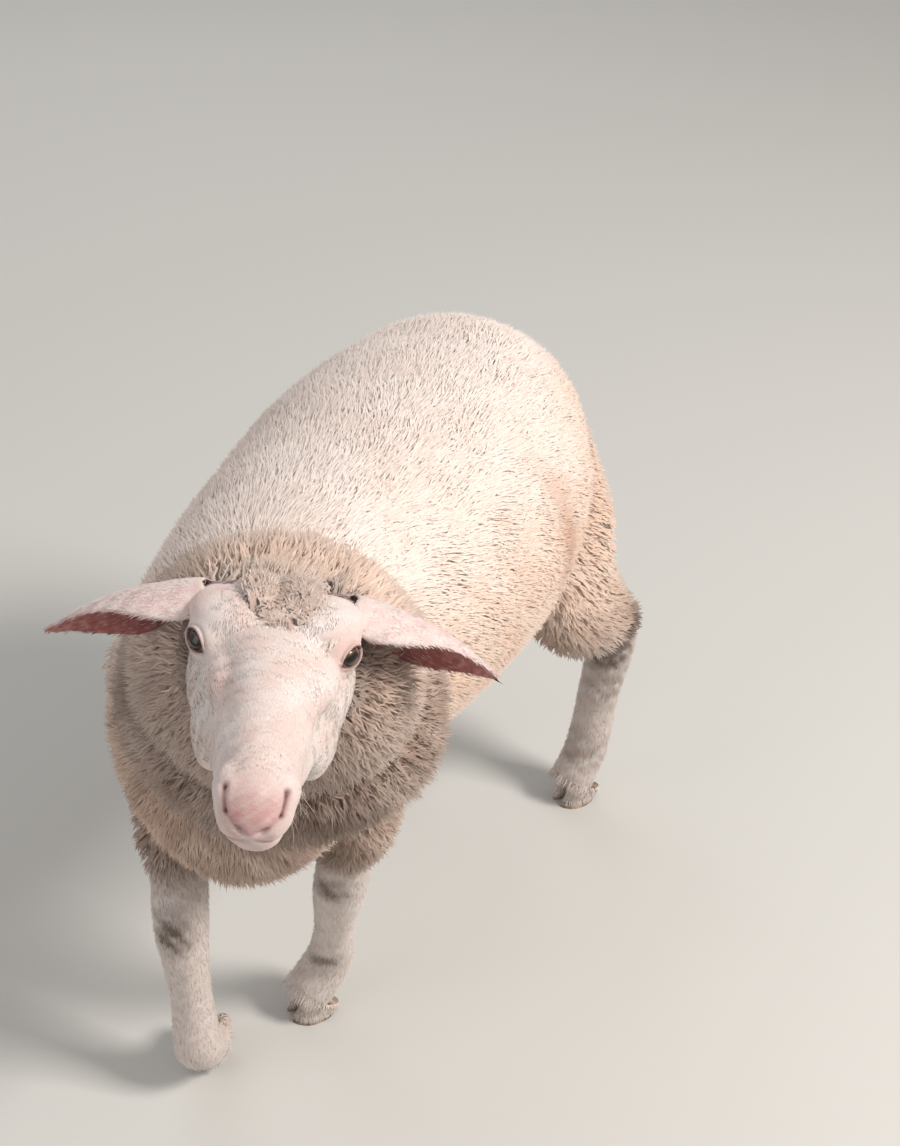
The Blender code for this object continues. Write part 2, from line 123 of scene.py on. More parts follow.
# Limb sections: X, Y and Z of the middle, half width, reach forward, reach back.
NECK = (
    (0.010, -0.150, 0.540, 0.120, 0.120, 0.120),
    (0.054, -0.250, 0.556, 0.154, 0.152, 0.135),
    (0.101, -0.318, 0.602, 0.153, 0.148, 0.130),
    (0.112, -0.350, 0.650, 0.134, 0.126, 0.116),
    (0.132, -0.376, 0.696, 0.128, 0.118, 0.112),
    (0.146, -0.392, 0.742, 0.106, 0.096, 0.096),
    (0.156, -0.402, 0.785, 0.074, 0.064, 0.070),
)
TAIL = (
    (-0.004, 0.330, 0.622, 0.025, 0.025, 0.025),
    (-0.004, 0.372, 0.605, 0.034, 0.030, 0.030),
    (-0.004, 0.398, 0.560, 0.038, 0.028, 0.028),
    (-0.004, 0.403, 0.500, 0.034, 0.025, 0.025),
    (-0.004, 0.397, 0.450, 0.013, 0.011, 0.011),
)
FRONT_LEGS = {
    "left": {
        "shoulder": (0.100, -0.195, 0.540),
        "elbow": (0.098, -0.180, 0.385),
        "knee": (0.062, -0.155, 0.232),
        "fetlock": (0.026, -0.118, 0.082),
        "coronet": (0.009, -0.129, 0.040),
        "toe": (-0.010, -0.152, 0.000),
    },
    "right": {
        "shoulder": (-0.095, -0.205, 0.540),
        "elbow": (-0.078, -0.235, 0.385),
        "knee": (-0.056, -0.279, 0.236),
        "fetlock": (-0.045, -0.284, 0.070),
        "coronet": (-0.053, -0.261, 0.045),
        "toe": (-0.064, -0.230, 0.000),
    },
}
HIND_LEGS = {
    "left": {
        "hip": (0.090, 0.250, 0.550),
        "thigh": (0.122, 0.262, 0.455),
        "stifle": (0.142, 0.262, 0.385),
        "hock": (0.162, 0.368, 0.255),
        "fetlock": (0.144, 0.358, 0.085),
        "coronet": (0.133, 0.348, 0.040),
        "toe": (0.119, 0.326, 0.000),
    },
    "right": {
        "hip": (-0.098, 0.235, 0.550),
        "thigh": (-0.112, 0.225, 0.455),
        "stifle": (-0.118, 0.215, 0.385),
        "hock": (-0.122, 0.305, 0.255),
        "fetlock": (-0.118, 0.285, 0.085),
        "coronet": (-0.118, 0.270, 0.040),
        "toe": (-0.119, 0.242, 0.000),
    },
}

LEGS = (("front", FRONT_LEGS), ("hind", HIND_LEGS))

# Half width, reach forward, reach back and coat depth at each joint and between them.
FRONT_GIRTH = {
    "shoulder": (0.058, 0.085, 0.085, 0.018),
    "elbow": (0.046, 0.060, 0.064, 0.014),
    "forearm": (0.036, 0.042, 0.044, 0.008),
    "knee": (0.033, 0.034, 0.032, 0.0045),
    "cannon": (0.0255, 0.026, 0.027, 0.004),
    "fetlock": (0.030, 0.029, 0.034, 0.004),
    "coronet": (0.031, 0.030, 0.030, 0.003),
}
HIND_GIRTH = {
    "hip": (0.070, 0.105, 0.100, 0.018),
    "thigh": (0.068, 0.105, 0.100, 0.018),
    "stifle": (0.056, 0.078, 0.080, 0.016),
    "gaskin": (0.044, 0.056, 0.054, 0.010),
    "hock": (0.036, 0.040, 0.042, 0.005),
    "cannon": (0.030, 0.029, 0.030, 0.004),
    "fetlock": (0.031, 0.030, 0.034, 0.004),
    "coronet": (0.031, 0.030, 0.030, 0.003),
}
CLAW_LENGTH = 0.051
CLAW_WIDTH = 0.0225
CLAW_CLEFT = 0.0035
CLAW_HEIGHT = 0.050
CLAW_SLOPE = 0.42
CLAW_POINT = 0.35
CORONET_SHARE = 0.12
FOLDED_SOLE_TILT = math.radians(75)
TIP_FLAT = 0.0025
# Growth rings: the radians of their wave from the claw's sole to its top, and their height.
GROWTH_RINGS = 60
GROWTH_RING_HEIGHT = 0.00035
CLAW_STEPS = (48, 22)
# Dew claws: half axes, and how far behind, beside and below the fetlock they sit.
DEW_CLAW = (0.0055, 0.0055, 0.0100)
DEW_CLAW_BACK = 0.029
DEW_CLAW_OUT = 0.013
DEW_CLAW_DOWN = 0.008

# Coat depth, from the skin to the tips. The collar's is read along the neck, from the chest up.
FLEECE_DEPTH = 0.017
COLLAR_DEPTH = (0.014, 0.021, 0.024, 0.023, 0.023, 0.022, 0.017)
# The collar hangs in rolls round the face, with grooves between them: where along the neck (0 to 1),
# half width of the same, and depth.
COLLAR_GROOVES = ((0.52, 0.040, 0.030), (0.26, 0.035, 0.018))
# The top of the neck's skin, which ends lower than the wool on it.
NECK_TOP = (0.153, -0.399, 0.766, 0.074, 0.064, 0.070)
TAIL_DEPTH = 0.012
FACE_DEPTH = 0.0015
# The front edge of the ear wraps down over its opening near the root.
EAR_ROOT_TWIST = math.radians(34)
EAR_STEPS = (44, 29)

# Rings from one row of sections to the next, and the least reach of a ring.
RINGS_BETWEEN = 6
LEAST_REACH = 0.003
# Cell size of the meshes that the skin's forms are fused on, and rounds of smoothing after that.
BODY_VOXEL = 0.0064
BODY_SOFTENING = 5
HEAD_VOXEL = 0.0021
HEAD_SOFTENING = 18
EAR_ROOT_SOFTENING = 10

# Tufts from root to tip, before each one's own share of chance.
TUFT_LENGTH = {"trunk": 0.0230, "leg wool": 0.024, "leg hair": 0.0085, "claw": 0.0090, "tail": 0.024,
               "whisker": 0.030, "ear": 0.0075, "poll": 0.033, "forelock": 0.023}
# The narrowest and the widest tufts.
TUFT_WIDTH = {"trunk": (0.0016, 0.0025), "neck": (0.0009, 0.0015), "fringe": (0.0007, 0.0011),
              "tail": (0.0013, 0.002), "ear": (0.00045, 0.00080), "poll": (0.0011, 0.0017),
              "forelock": (0.0010, 0.0015)}
LEG_WOOL_WIDTH = 0.0016
LEG_HAIR_WIDTH = 0.0009
CLAW_HAIR_WIDTH = 0.0008
WHISKER_WIDTH = 0.00022
# How far apart the locks stand.
LOCK_SPACING = {"neck": 0.0095, "leg": 0.012, "tail": 0.011, "poll": 0.0105, "forelock": 0.0095}
# How many tufts each part of the coat has; the trunk's are shared among bands along it.
TRUNK_TUFTS, TRUNK_BANDS = 125000, 4
NECK_TUFTS = 34000
LEG_TUFTS = 7500
FRINGE_TUFTS = 600
CLAW_TUFTS = 1500
TAIL_TUFTS = 2500
FACE_TUFTS = 28000
EAR_TUFTS = 4500
POLL_TUFTS = 6000
FORELOCK_TUFTS = 6000

# ---------------------------------------------------------------- small tools


def linear(code):
    """An sRGB hex colour as linear light."""
    parts = np.array([int(code[i : i + 2], 16) / 255 for i in (0, 2, 4)])
    return np.where(parts <= 0.04045, parts / 12.92, ((parts + 0.055) / 1.055) ** 2.4)


def unit(vectors):
    return vectors / np.maximum(np.linalg.norm(vectors, axis=-1, keepdims=True), 1e-12)


def smoothstep(low, high, values):
    share = np.clip((values - low) / (high - low), 0, 1)
    return share * share * (3 - 2 * share)


def bell(distance, width):
    return np.exp(-((distance / width) ** 2))


def mixed(first, second, share):
    share = np.asarray(share)[..., None]
    return first * (1 - share) + second * share


def painted(colour, *layers):
    """Lays tones over a colour one after another, each with its share."""
    for tone, share in layers:
        colour = mixed(colour, tone, share)
    return colour


def patchy(level, swing, wave):
    """A share between 0 and 1 that swings about a level."""
    return np.clip(level + swing * wave, 0, 1)


def ripple(points, pitch, seed):
    """Smooth values of about -1 to 1 that change over the pitch: a few plane waves added up."""
    rng = np.random.default_rng(seed)
    total = np.zeros(len(points))
    for _ in range(7):
        way = unit(rng.normal(size=3)) * rng.uniform(0.7, 1.5) * 2 * math.pi / pitch
        total += np.sin(points @ way + rng.uniform(0, 2 * math.pi))
    return total / 3.0


def on_curve(rows, places):
    """Rows of numbers read at fractional places, on smooth curves through them."""
    rows = np.asarray(rows, float)
    last = len(rows) - 1
    index = np.minimum(places.astype(int), last - 1)
    t = (places - index)[:, None]
    before, start = rows[np.maximum(index - 1, 0)], rows[index]
    end, after = rows[index + 1], rows[np.minimum(index + 2, last)]
    return 0.5 * (
        2 * start
        + (end - before) * t
        + (2 * before - 5 * start + 4 * end - after) * t**2
        + (3 * start - before - 3 * end + after) * t**3
    )


def head_matrix():
    turn = Euler((0, 0, HEAD_TURN_LEFT)).to_matrix()
    lift = Euler((-NOSE_LIFT, 0, 0)).to_matrix()
    tilt = Euler((0, HEAD_TILT_LEFT, 0)).to_matrix()
    return Matrix.Translation(Vector(HEAD_CENTRE)) @ (turn @ lift @ tilt).to_4x4()


HEAD_PLACE = np.array(head_matrix())


def to_world(local, place=HEAD_PLACE):
    return local @ place[:3, :3].T + place[:3, 3]


def to_head(world):
    return (world - HEAD_PLACE[:3, 3]) @ HEAD_PLACE[:3, :3]


def mesh_object(name, points, faces):
    mesh = bpy.data.meshes.new(name)
    mesh.from_pydata(np.asarray(points).tolist(), [], [list(face) for face in faces])
    obj = bpy.data.objects.new(name, mesh)
    bpy.context.scene.collection.objects.link(obj)
    return obj


@contextmanager
def editing(obj):
    """The mesh of a piece as a bmesh, written back afterwards."""
    bm = bmesh.new()
    bm.from_mesh(obj.data)
    bm.verts.ensure_lookup_table()
    yield bm
    bm.to_mesh(obj.data)
    bm.free()


def turned_out(obj):
    """Recalculates the faces so that they point outwards."""
    with editing(obj) as bm:
        bmesh.ops.recalc_face_normals(bm, faces=bm.faces)
    return obj


def points_of(obj):
    points = np.empty(len(obj.data.vertices) * 3)
    obj.data.vertices.foreach_get("co", points)
    return points.reshape(-1, 3)


def set_points(obj, points):
    obj.data.vertices.foreach_set("co", np.ascontiguousarray(points).ravel())
    obj.data.update()


def normals_of(obj):
    values = np.empty(len(obj.data.vertices) * 3)
    obj.data.vertices.foreach_get("normal", values)
    return values.reshape(-1, 3)


def apply_modifiers(obj):
    bpy.context.view_layer.update()
    graph = bpy.context.evaluated_depsgraph_get()
    mesh = bpy.data.meshes.new_from_object(obj.evaluated_get(graph))
    obj.modifiers.clear()
    obj.data = mesh


def fuse(obj, voxel, rounds):
    """Joins overlapping forms into one skin and softens it."""
    remesh = obj.modifiers.new("fuse", "REMESH")
    remesh.mode = "VOXEL"
    remesh.voxel_size = voxel
    soften = obj.modifiers.new("soften", "SMOOTH")
    soften.factor = 0.5
    soften.iterations = rounds
    apply_modifiers(obj)


def unite(obj, other, solver):
    boolean = obj.modifiers.new("unite", "BOOLEAN")
    boolean.operation = "UNION"
    boolean.solver = solver
    boolean.object = other
    apply_modifiers(obj)
    bpy.data.objects.remove(other)


def set_colours(obj, name, colours):
    """Writes one linear colour for each vertex as an attribute."""
    layer = obj.data.attributes.new(name, "FLOAT_COLOR", "POINT")
    values = np.ones((len(colours), 4))
    values[:, :3] = np.clip(colours, 0, 1)
    layer.data.foreach_set("color", values.ravel())


# ---------------------------------------------------------------- forms


class Form:
    """A loft of oval rings, which knows its own lengthwise and round-about places."""

    def __init__(self, rows, depth, sides, hint=None):
        rows = np.asarray(rows, float)
        depth = np.broadcast_to(np.asarray(depth, float), len(rows))
        rows = np.column_stack((rows, depth))
        places = np.linspace(0, len(rows) - 1, (len(rows) - 1) * RINGS_BETWEEN + 1)
        rows = on_curve(rows, places)
        self.centres = rows[:, :3]
        self.sizes = rows[:, 3:6]
        self.depth = rows[:, 6]
        if hint is None:
            self.side = np.tile((1.0, 0, 0), (len(rows), 1))
            self.front = np.tile((0, 0, 1.0), (len(rows), 1))
        else:
            along = unit(np.gradient(self.centres, axis=0))
            self.front = unit(np.cross(along, np.asarray(hint, float)))
            self.side = unit(np.cross(self.front, along))
        self.angles = np.linspace(0, 2 * math.pi, sides, endpoint=False)

    def points(self):
        """Ring points of the skin, as deep below the tips as the coat is thick."""
        cos, sin = np.cos(self.angles), np.sin(self.angles)
        sizes = np.maximum(self.sizes - self.depth[:, None], LEAST_REACH)
        reach = np.where(sin[None, :] > 0, sizes[:, 1:2], sizes[:, 2:3])
        across = self.side[:, None] * (sizes[:, :1] * cos[None, :])[..., None]
        upward = self.front[:, None] * (reach * sin[None, :])[..., None]
        return self.centres[:, None] + across + upward

    def shell(self):
        """Points and faces of the closed loft."""
        grid = self.points()
        rings, sides = grid.shape[:2]
        first, last = range(sides - 1, -1, -1), range((rings - 1) * sides, rings * sides)
        return grid.reshape(-1, 3), loft_faces(rings, sides) + [tuple(first), tuple(last)]


def loft_faces(rings, sides):
    """The four-sided faces between one ring of points and the next."""
    faces = []
    for ring in range(rings - 1):
        for step in range(sides):
            after = (step + 1) % sides
            faces.append((ring * sides + step, ring * sides + after,
                          (ring + 1) * sides + after, (ring + 1) * sides + step))
    return faces


def joined(name, shells):
    points, faces, start = [], [], 0
    for shell_points, shell_faces in shells:
        points.append(shell_points)
        faces += [tuple(start + corner for corner in face) for face in shell_faces]
        start += len(shell_points)
    return turned_out(mesh_object(name, np.concatenate(points), faces))


def ball(centre, half_axes, steps=20):
    """Points and faces of an ellipsoid."""
    points = [(0, 0, -1)]
    for ring in range(1, steps):
        height = -math.cos(math.pi * ring / steps)
        wide = math.sin(math.pi * ring / steps)
        for step in range(steps * 2):
            angle = math.pi * step / steps
            points.append((wide * math.cos(angle), wide * math.sin(angle), height))
    points.append((0, 0, 1))
    around = steps * 2
    faces = []
    for step in range(around):
        after = (step + 1) % around
        faces.append((0, 1 + after, 1 + step))
        for ring in range(steps - 2):
            low = 1 + ring * around
            faces.append((low + step, low + after, low + around + after, low + around + step))
        top = 1 + (steps - 2) * around
        faces.append((top + step, top + after, len(points) - 1))
    return np.array(points) * half_axes + centre, faces


def leg_form(joints, girths, halfway):
    """A leg's form, from the middle, sizes and coat depth at each joint, run on past the coronet."""
    path = {name: np.array(place) for name, place in joints.items()}
    for name, (above, below, share) in halfway.items():
        path[name] = path[above] * (1 - share) + path[below] * share
    rows = [(*path[name], *sizes) for name, sizes in girths.items()]
    along = unit(path["toe"] - path["coronet"])
    rows.append((*(path["coronet"] + along * 0.012), *girths["coronet"]))
    rows = np.array(rows)
    return Form(rows[:, :6], rows[:, 6], hint=(1, 0, 0), sides=32)


FRONT_HALFWAY = {"forearm": ("elbow", "knee", 0.55), "cannon": ("knee", "fetlock", 0.55)}
HIND_HALFWAY = {"gaskin": ("stifle", "hock", 0.55), "cannon": ("hock", "fetlock", 0.50)}

FORMS = {
    "trunk": Form(TRUNK, FLEECE_DEPTH, sides=56),
    "neck": Form(NECK[:-1] + (NECK_TOP,), COLLAR_DEPTH, hint=(1, 0.3, 0), sides=56),
    "tail": Form(TAIL, TAIL_DEPTH, hint=(1, 0, 0), sides=24),
}
for leg_side in ("left", "right"):
    FORMS["leg_front_" + leg_side] = leg_form(FRONT_LEGS[leg_side], FRONT_GIRTH, FRONT_HALFWAY)
    FORMS["leg_hind_" + leg_side] = leg_form(HIND_LEGS[leg_side], HIND_GIRTH, HIND_HALFWAY)

# ---------------------------------------------------------------- skin of the body


def collar_share(points):
    """How far along the neck a place is, and how far it is on the collar's front, 0 to 1."""
    grid = FORMS["neck"].points()
    near = KDTree(grid.shape[0] * grid.shape[1])
    for index, place in enumerate(grid.reshape(-1, 3).tolist()):
        near.insert(place, index)
    near.balance()
    found = [near.find_n(place, 5) for place in points.tolist()]
    rings = [np.mean([item[1] // grid.shape[1] for item in items]) for items in found]
    share = np.array(rings) / (len(grid) - 1)
    far = np.array([items[0][2] for items in found])
    front = smoothstep(-0.15, -0.24, points[:, 1]) * smoothstep(0.78, 0.72, points[:, 2])
    front = front * smoothstep(0.03, 0.015, far)
    return share + 0.02 * ripple(points, 0.11, 73), front


def body_skin():
    obj = joined("skin", [form.shell() for form in FORMS.values()])
    fuse(obj, BODY_VOXEL, BODY_SOFTENING)
    points = points_of(obj)
    share, front = collar_share(points)
    groove = sum(deep * bell(share - middle, width) for middle, width, deep in COLLAR_GROOVES)
    set_points(obj, points - normals_of(obj) * (groove * front)[:, None])
    return obj


# ---------------------------------------------------------------- head

# Eye: how the eyeball faces, in the head's frame for the left side, and the opening of its lids.
EYE_BALL = 0.0128
EYE_FACES = unit(np.array((0.61, -0.73, 0.31)))
EYE_MIDDLE = EYE_PLACE - 0.0034 * EYE_FACES
LID_RADIUS = 0.0147
LID_OPENING = (0.0114, 0.0057)
LID_TILT = math.radians(24)
CORNEA_BULGE = 0.0011
# The eye's rings are closer together within this angle from its axis. Then come how many of them are,
# and the steps of the whole along and round.
CORNEA_EDGE = 0.72
FRONT_RINGS = 45
EYE_STEPS = (72, 112)
IRIS_RADIUS = 0.0074
PUPIL = (0.0060, 0.0028)


def eye_axes():
    """Outward, forward along the opening, and upward, for the left eye."""
    outward = EYE_FACES
    level = unit(np.cross(outward, (0, 0, 1.0)))
    level = level if level[1] < 0 else -level
    upward = unit(np.cross(outward, level))
    upward = upward if upward[2] > 0 else -upward
    forward = level * math.cos(LID_TILT) - upward * math.sin(LID_TILT)
    across = np.cross(outward, forward)
    return outward, forward, unit(across) * np.sign(across[2])


def lid_edge(a):
    """How high the lids open at a place along the opening."""
    wide, high = LID_OPENING
    return high * np.maximum(1 - (np.abs(a) / wide) ** 2.2, 0) ** 0.8


def to_segment(points, start, end):
    """Distance from each point to a straight stretch, and the share along it."""
    start, end = np.array(start), np.array(end)
    along = end - start
    share = np.clip((points - start) @ along / (along @ along), 0, 1)
    return np.linalg.norm(points - start - share[:, None] * along, axis=1), share


def folded(local):
    """The left half's copy of each point, and its side."""
    side = np.where(local[:, 0] < 0, -1.0, 1.0)
    half = local.copy()
    half[:, 0] *= side
    return half, side


# Lines on the face, left half: nostril, fold beside the nose, mouth, groove to the lip and tear groove.
NOSTRIL = ((0.0205, -0.160, -0.023), (0.0178, -0.168, -0.036))
NOSE_FOLD = ((0.0178, -0.168, -0.036), (0.0035, -0.178, -0.050))
MOUTH = (
    (0.000, -0.177, -0.0545),
    (0.016, -0.167, -0.0575),
    (0.027, -0.146, -0.060),
    (0.032, -0.115, -0.058),
)
PHILTRUM = ((0, -0.180, -0.040), (0, -0.179, -0.056))
TEAR_GROOVE = ((0.0500, -0.016, -0.006), (0.0440, -0.042, -0.016))


def to_mouth(points):
    """Distance from each point to the mouth's line."""
    return np.min([to_segment(points, start, end)[0] for start, end in zip(MOUTH, MOUTH[1:])], axis=0)


def sculpt_face(points, normals):
    """Moves the skin of the head in its own frame: lips, nostrils, nose folds, lids and tear groove."""
    half, _ = folded(points)
    x, y, z = half.T
    push = np.zeros(len(points))

    # Nostrils: comma-shaped slits with a raised outer wing.
    slit, share = to_segment(half, *NOSTRIL)
    push -= 0.0070 * bell(slit, 0.0019 + 0.0012 * (1 - share))
    push -= 0.0042 * bell(to_segment(half, *NOSE_FOLD)[0], 0.0018)
    wing = to_segment(half, (0.0245, -0.157, -0.028), (0.0150, -0.171, -0.048))[0]
    push += 0.0014 * bell(wing, 0.0035)

    # The groove from the nose to the lip, and the mouth's line.
    philtrum = to_segment(half, *PHILTRUM)[0]
    push -= 0.0028 * bell(philtrum, 0.0013)
    push -= 0.0015 * bell(to_mouth(half), 0.0015)
    push += 0.0010 * bell(np.linalg.norm((half - (0, -0.167, -0.066)) / (1.6, 1, 1), axis=1), 0.009)

    # Fine cross folds over the nose, and the eye's tear groove.
    over_nose = bell(y + 0.143, 0.013) * smoothstep(-0.03, 0.0, z) * smoothstep(0.034, 0.015, x)
    push += 0.0005 * np.sin(2 * math.pi * (y + 0.25 * x) / 0.0060 + ripple(points, 0.02, 36)) * over_nose
    groove = to_segment(half, *TEAR_GROOVE)[0]
    push -= 0.0022 * bell(groove, 0.0030)

    # Planes of the skull: hollow temples, a low dip between the eyes and a firm nose bridge.
    push -= 0.0062 * bell(np.linalg.norm(half - (0.050, -0.058, -0.022), axis=1), 0.030)
    push -= 0.0020 * bell(np.linalg.norm(half - (0.000, -0.010, 0.034), axis=1), 0.022)
    cheek = to_segment(half, (0.054, -0.038, -0.034), (0.038, -0.118, -0.040))[0]
    push -= 0.0050 * bell(cheek, 0.016)
    crest = to_segment(half, (0.044, -0.034, -0.006), (0.030, -0.118, -0.012))[0]
    push += 0.0022 * bell(crest, 0.0065)
    push += 0.0004 * ripple(points, 0.018, 3)
    moved = points + normals * push[:, None]
    return open_lids(moved)


def open_lids(points):
    """Opens an almond in the lids. Its rim lies on the eyeball, and what is inside sinks into it."""
    half, side = folded(points)
    outward, forward, upward = eye_axes()
    offset = half - EYE_MIDDLE
    out, a, b = offset @ outward, offset @ forward, offset @ upward
    wide, limit = LID_OPENING[0], lid_edge(a)
    ratio = np.abs(b) / np.maximum(limit, 1e-5)
    near = (out > 0.002) & (np.linalg.norm(offset, axis=1) < 0.024)
    distance = np.hypot(np.maximum(np.abs(a) - wide * 0.6, 0) * 0.9, b)
    inside = near & (np.abs(a) < wide) & (ratio < 1.0)
    rim = near & ~inside & (np.abs(a) < wide * 1.03) & (np.abs(b) < limit + 0.0013)
    moved = offset.copy()

    # The rim is drawn on to the almond and lies close on the eyeball.
    rim_b = np.sign(b[rim]) * np.maximum(limit[rim], 0.0002)
    flat = np.outer(np.clip(a[rim], -wide, wide), forward) + np.outer(rim_b, upward)
    level = np.sqrt(np.maximum((EYE_BALL + 0.0005) ** 2 - (flat**2).sum(1), 1e-8))
    moved[rim] = flat + np.outer(level, outward)
    moved[inside] = unit(offset[inside]) * EYE_BALL * 0.72

    # The lids above and below swell, and a crease sets the upper lid off from the brow.
    above = near & ~inside & ~rim & (b > 0)
    crease = bell(b - (limit + 0.0052), 0.0012) * (np.abs(a) < wide * 1.1)
    moved[above] -= unit(offset[above]) * (0.0011 * crease[above])[:, None]
    swell = bell(np.abs(b) - (limit + 0.0024), 0.0014) * (np.abs(a) < wide * 1.15) * (near & ~inside & ~rim)
    moved += unit(offset) * (0.0008 * swell)[:, None]
    result = moved + EYE_MIDDLE
    result[:, 0] *= side
    return np.where(near[:, None], result, points)


def refine(obj, chosen):
    """Splits the faces whose corners are all among the chosen points."""
    with editing(obj) as bm:
        edges = [edge for edge in bm.edges if all(chosen[vert.index] for vert in edge.verts)]
        bmesh.ops.subdivide_edges(bm, edges=edges, cuts=1, use_grid_fill=True)


def near_features(points):
    half, _ = folded(points)
    near = np.linalg.norm(half - EYE_MIDDLE, axis=1) < 0.021
    near |= to_segment(half, *NOSTRIL)[0] < 0.008
    near |= to_mouth(half) < 0.005
    near |= to_segment(half, *PHILTRUM)[0] < 0.005
    return near


def soften_ear_roots(obj):
    """Rounds the corner where each ear meets the head."""
    half, _ = folded(points_of(obj))
    chosen = np.linalg.norm(half - EAR_BASE, axis=1) < 0.023
    with editing(obj) as bm:
        around = [vert for vert in bm.verts if chosen[vert.index]]
        for _ in range(EAR_ROOT_SOFTENING):
            bmesh.ops.smooth_vert(bm, verts=around, factor=0.5,
                                  use_axis_x=True, use_axis_y=True, use_axis_z=True)


HEAD_FORM = Form(HEAD, FACE_DEPTH, sides=56)

# Softer swellings that only the skin has: the rim of the orbit, the plane below and before the eye, and
# the ear's root.
SOFT_SWELLINGS = (
    ((0.0440, 0.008, 0.008), (0.0215, 0.026, 0.020)),
    ((0.0330, -0.026, -0.010), (0.0200, 0.042, 0.022)),
    ((0.0460, 0.058, 0.013), (0.0170, 0.016, 0.016)),
)


def head_skin():
    shells = [HEAD_FORM.shell()]
    for side in (LEFT, RIGHT):
        mirror = np.array((side, 1, 1))
        for centre, half_axes in HEAD_SWELLINGS.values():
            shells.append(ball(np.array(centre) * mirror, np.array(half_axes) - FACE_DEPTH))
        shells.append(ball(EYE_MIDDLE * mirror, np.full(3, LID_RADIUS)))
        for centre, half_axes in SOFT_SWELLINGS:
            shells.append(ball(np.array(centre) * mirror, np.array(half_axes)))
    shells.append(ball(np.array((0.003, -0.152, -0.060)), np.array((0.018, 0.016, 0.012))))
    obj = joined("head skin", shells)
    fuse(obj, HEAD_VOXEL, HEAD_SOFTENING)
    for side in (LEFT, RIGHT):
        unite(obj, ear_skin(side), "EXACT")
    soften_ear_roots(obj)
    refine(obj, near_features(points_of(obj)))
    refine(obj, np.linalg.norm(folded(points_of(obj))[0] - EYE_MIDDLE, axis=1) < 0.0185)
    set_points(obj, sculpt_face(points_of(obj), normals_of(obj)))
    set_points(obj, to_world(points_of(obj)))
    return obj


# ---------------------------------------------------------------- ears


def ear_place(side):
    mirror = Matrix.Diagonal((side, 1, 1, 1))
    pose = Euler((EAR_OPENING, EAR_DROOP, EAR_BACK)).to_matrix().to_4x4()
    return np.array(head_matrix() @ mirror @ Matrix.Translation(EAR_BASE) @ pose)


def ear_sheet(t, across, lift):
    """Points of the ear at shares along it (0 to 1) and across it (-1 to 1), raised off its middle."""
    swell = 0.55 + 0.45 * np.sin(math.pi * np.minimum(t + 0.12, 1)) ** 0.7
    half_width = (EAR_WIDTH - 0.0008) * swell * (1 - t**4) + 0.0012
    curl = EAR_ROOT_CURL + (EAR_TIP_CURL - EAR_ROOT_CURL) * t**2
    radius = half_width / (curl / 2)
    angle = across * curl / 2 + EAR_ROOT_TWIST * (1 - smoothstep(0.05, 0.60, t))
    normal = np.stack((np.zeros_like(angle), -np.sin(angle), np.cos(angle)), -1)
    arch = EAR_ARCH * np.sin(math.pi * t)
    centre = np.stack((t * (EAR_LENGTH - 0.001), np.zeros_like(t), arch - radius), -1)
    thick = np.minimum(EAR_THICKNESS - 0.0009, 0.3 * half_width) * (1 - 0.55 * np.abs(across) ** 3)
    return centre + normal * (radius + thick * lift)[..., None]


def ear_skin(side):
    """A closed leaf: outer face, inner face with low ridges, and a rim between them."""
    rings, steps = EAR_STEPS
    t, across = np.meshgrid(np.linspace(0, 1, rings), np.linspace(-1, 1, steps), indexing="ij")
    outer = ear_sheet(t, across, np.ones_like(t))
    ridges = 0.35 * np.cos(across * 5 * math.pi) * smoothstep(0.02, 0.25, t) * smoothstep(0.95, 0.6, t)
    inner = ear_sheet(t, across, -1 + ridges * (1 - across**2))
    points = np.concatenate((outer.reshape(-1, 3), inner.reshape(-1, 3)))
    count = rings * steps
    faces = []
    for i in range(rings - 1):
        for j in range(steps - 1):
            a, b, c, d = (i * steps + j, i * steps + j + 1, (i + 1) * steps + j + 1, (i + 1) * steps + j)
            faces += [(a, b, c, d), (count + d, count + c, count + b, count + a)]
        for j in (0, steps - 1):
            a, d = i * steps + j, (i + 1) * steps + j
            faces.append((a, d, count + d, count + a))
    for i in (0, rings - 1):
        for j in range(steps - 1):
            a, b = i * steps + j, i * steps + j + 1
            faces.append((a, b, count + b, count + a))
    return turned_out(mesh_object("ear", to_head(to_world(points, ear_place(side))), faces))


# ---------------------------------------------------------------- markings

# Wool is painted browner in its depths, as shade among the tufts, and so is lightest at its tips; the hair
# of face and legs is short and lets the pink skin through.
WHITE_WOOL = linear("FBF0EA")
CREAM_WOOL = linear("F1D7C6")
PEACH_WOOL = linear("E6BFA6")
GREY_WOOL = linear("C8AE9E")
WOOL_DEPTH_SHADE = linear("7A5A48")
SOIL = linear("584233")
WHITE_HAIR = linear("E6DCD6")
WARM_HAIR = linear("DDCABF")
PINK_SKIN = linear("D79C98")
ROSE_SKIN = linear("CC9693")
EAR_SKIN = linear("9A534D")
LID_SKIN_AND_SHADE = linear("B07470")
HOLLOW_SHADE = linear("43292A")
# Stains and dust in the wool, and the tones of chest, ruff and forelock; the flank's crease, the ruff's
# outer and low parts, its groove and the wool below the ears carry painted shade.
CREASE_SHADE = linear("B08468")
RUMP_STAIN = linear("D8AF92")
CHEST_TONE = linear("AE9282")
NECK_DUST = linear("B29483")
TAIL_STAIN = linear("B0886A")
INNER_ROLL = linear("D6BCAA")
OUTER_ROLL_AND_SHADE = linear("937767")
LOW_ROLL_SHADE = linear("9C8070")
GROOVE_SHADOW = linear("614839")
UNDER_EAR_SHADE = linear("8C7263")
FORELOCK_WOOL = linear("BDA292")
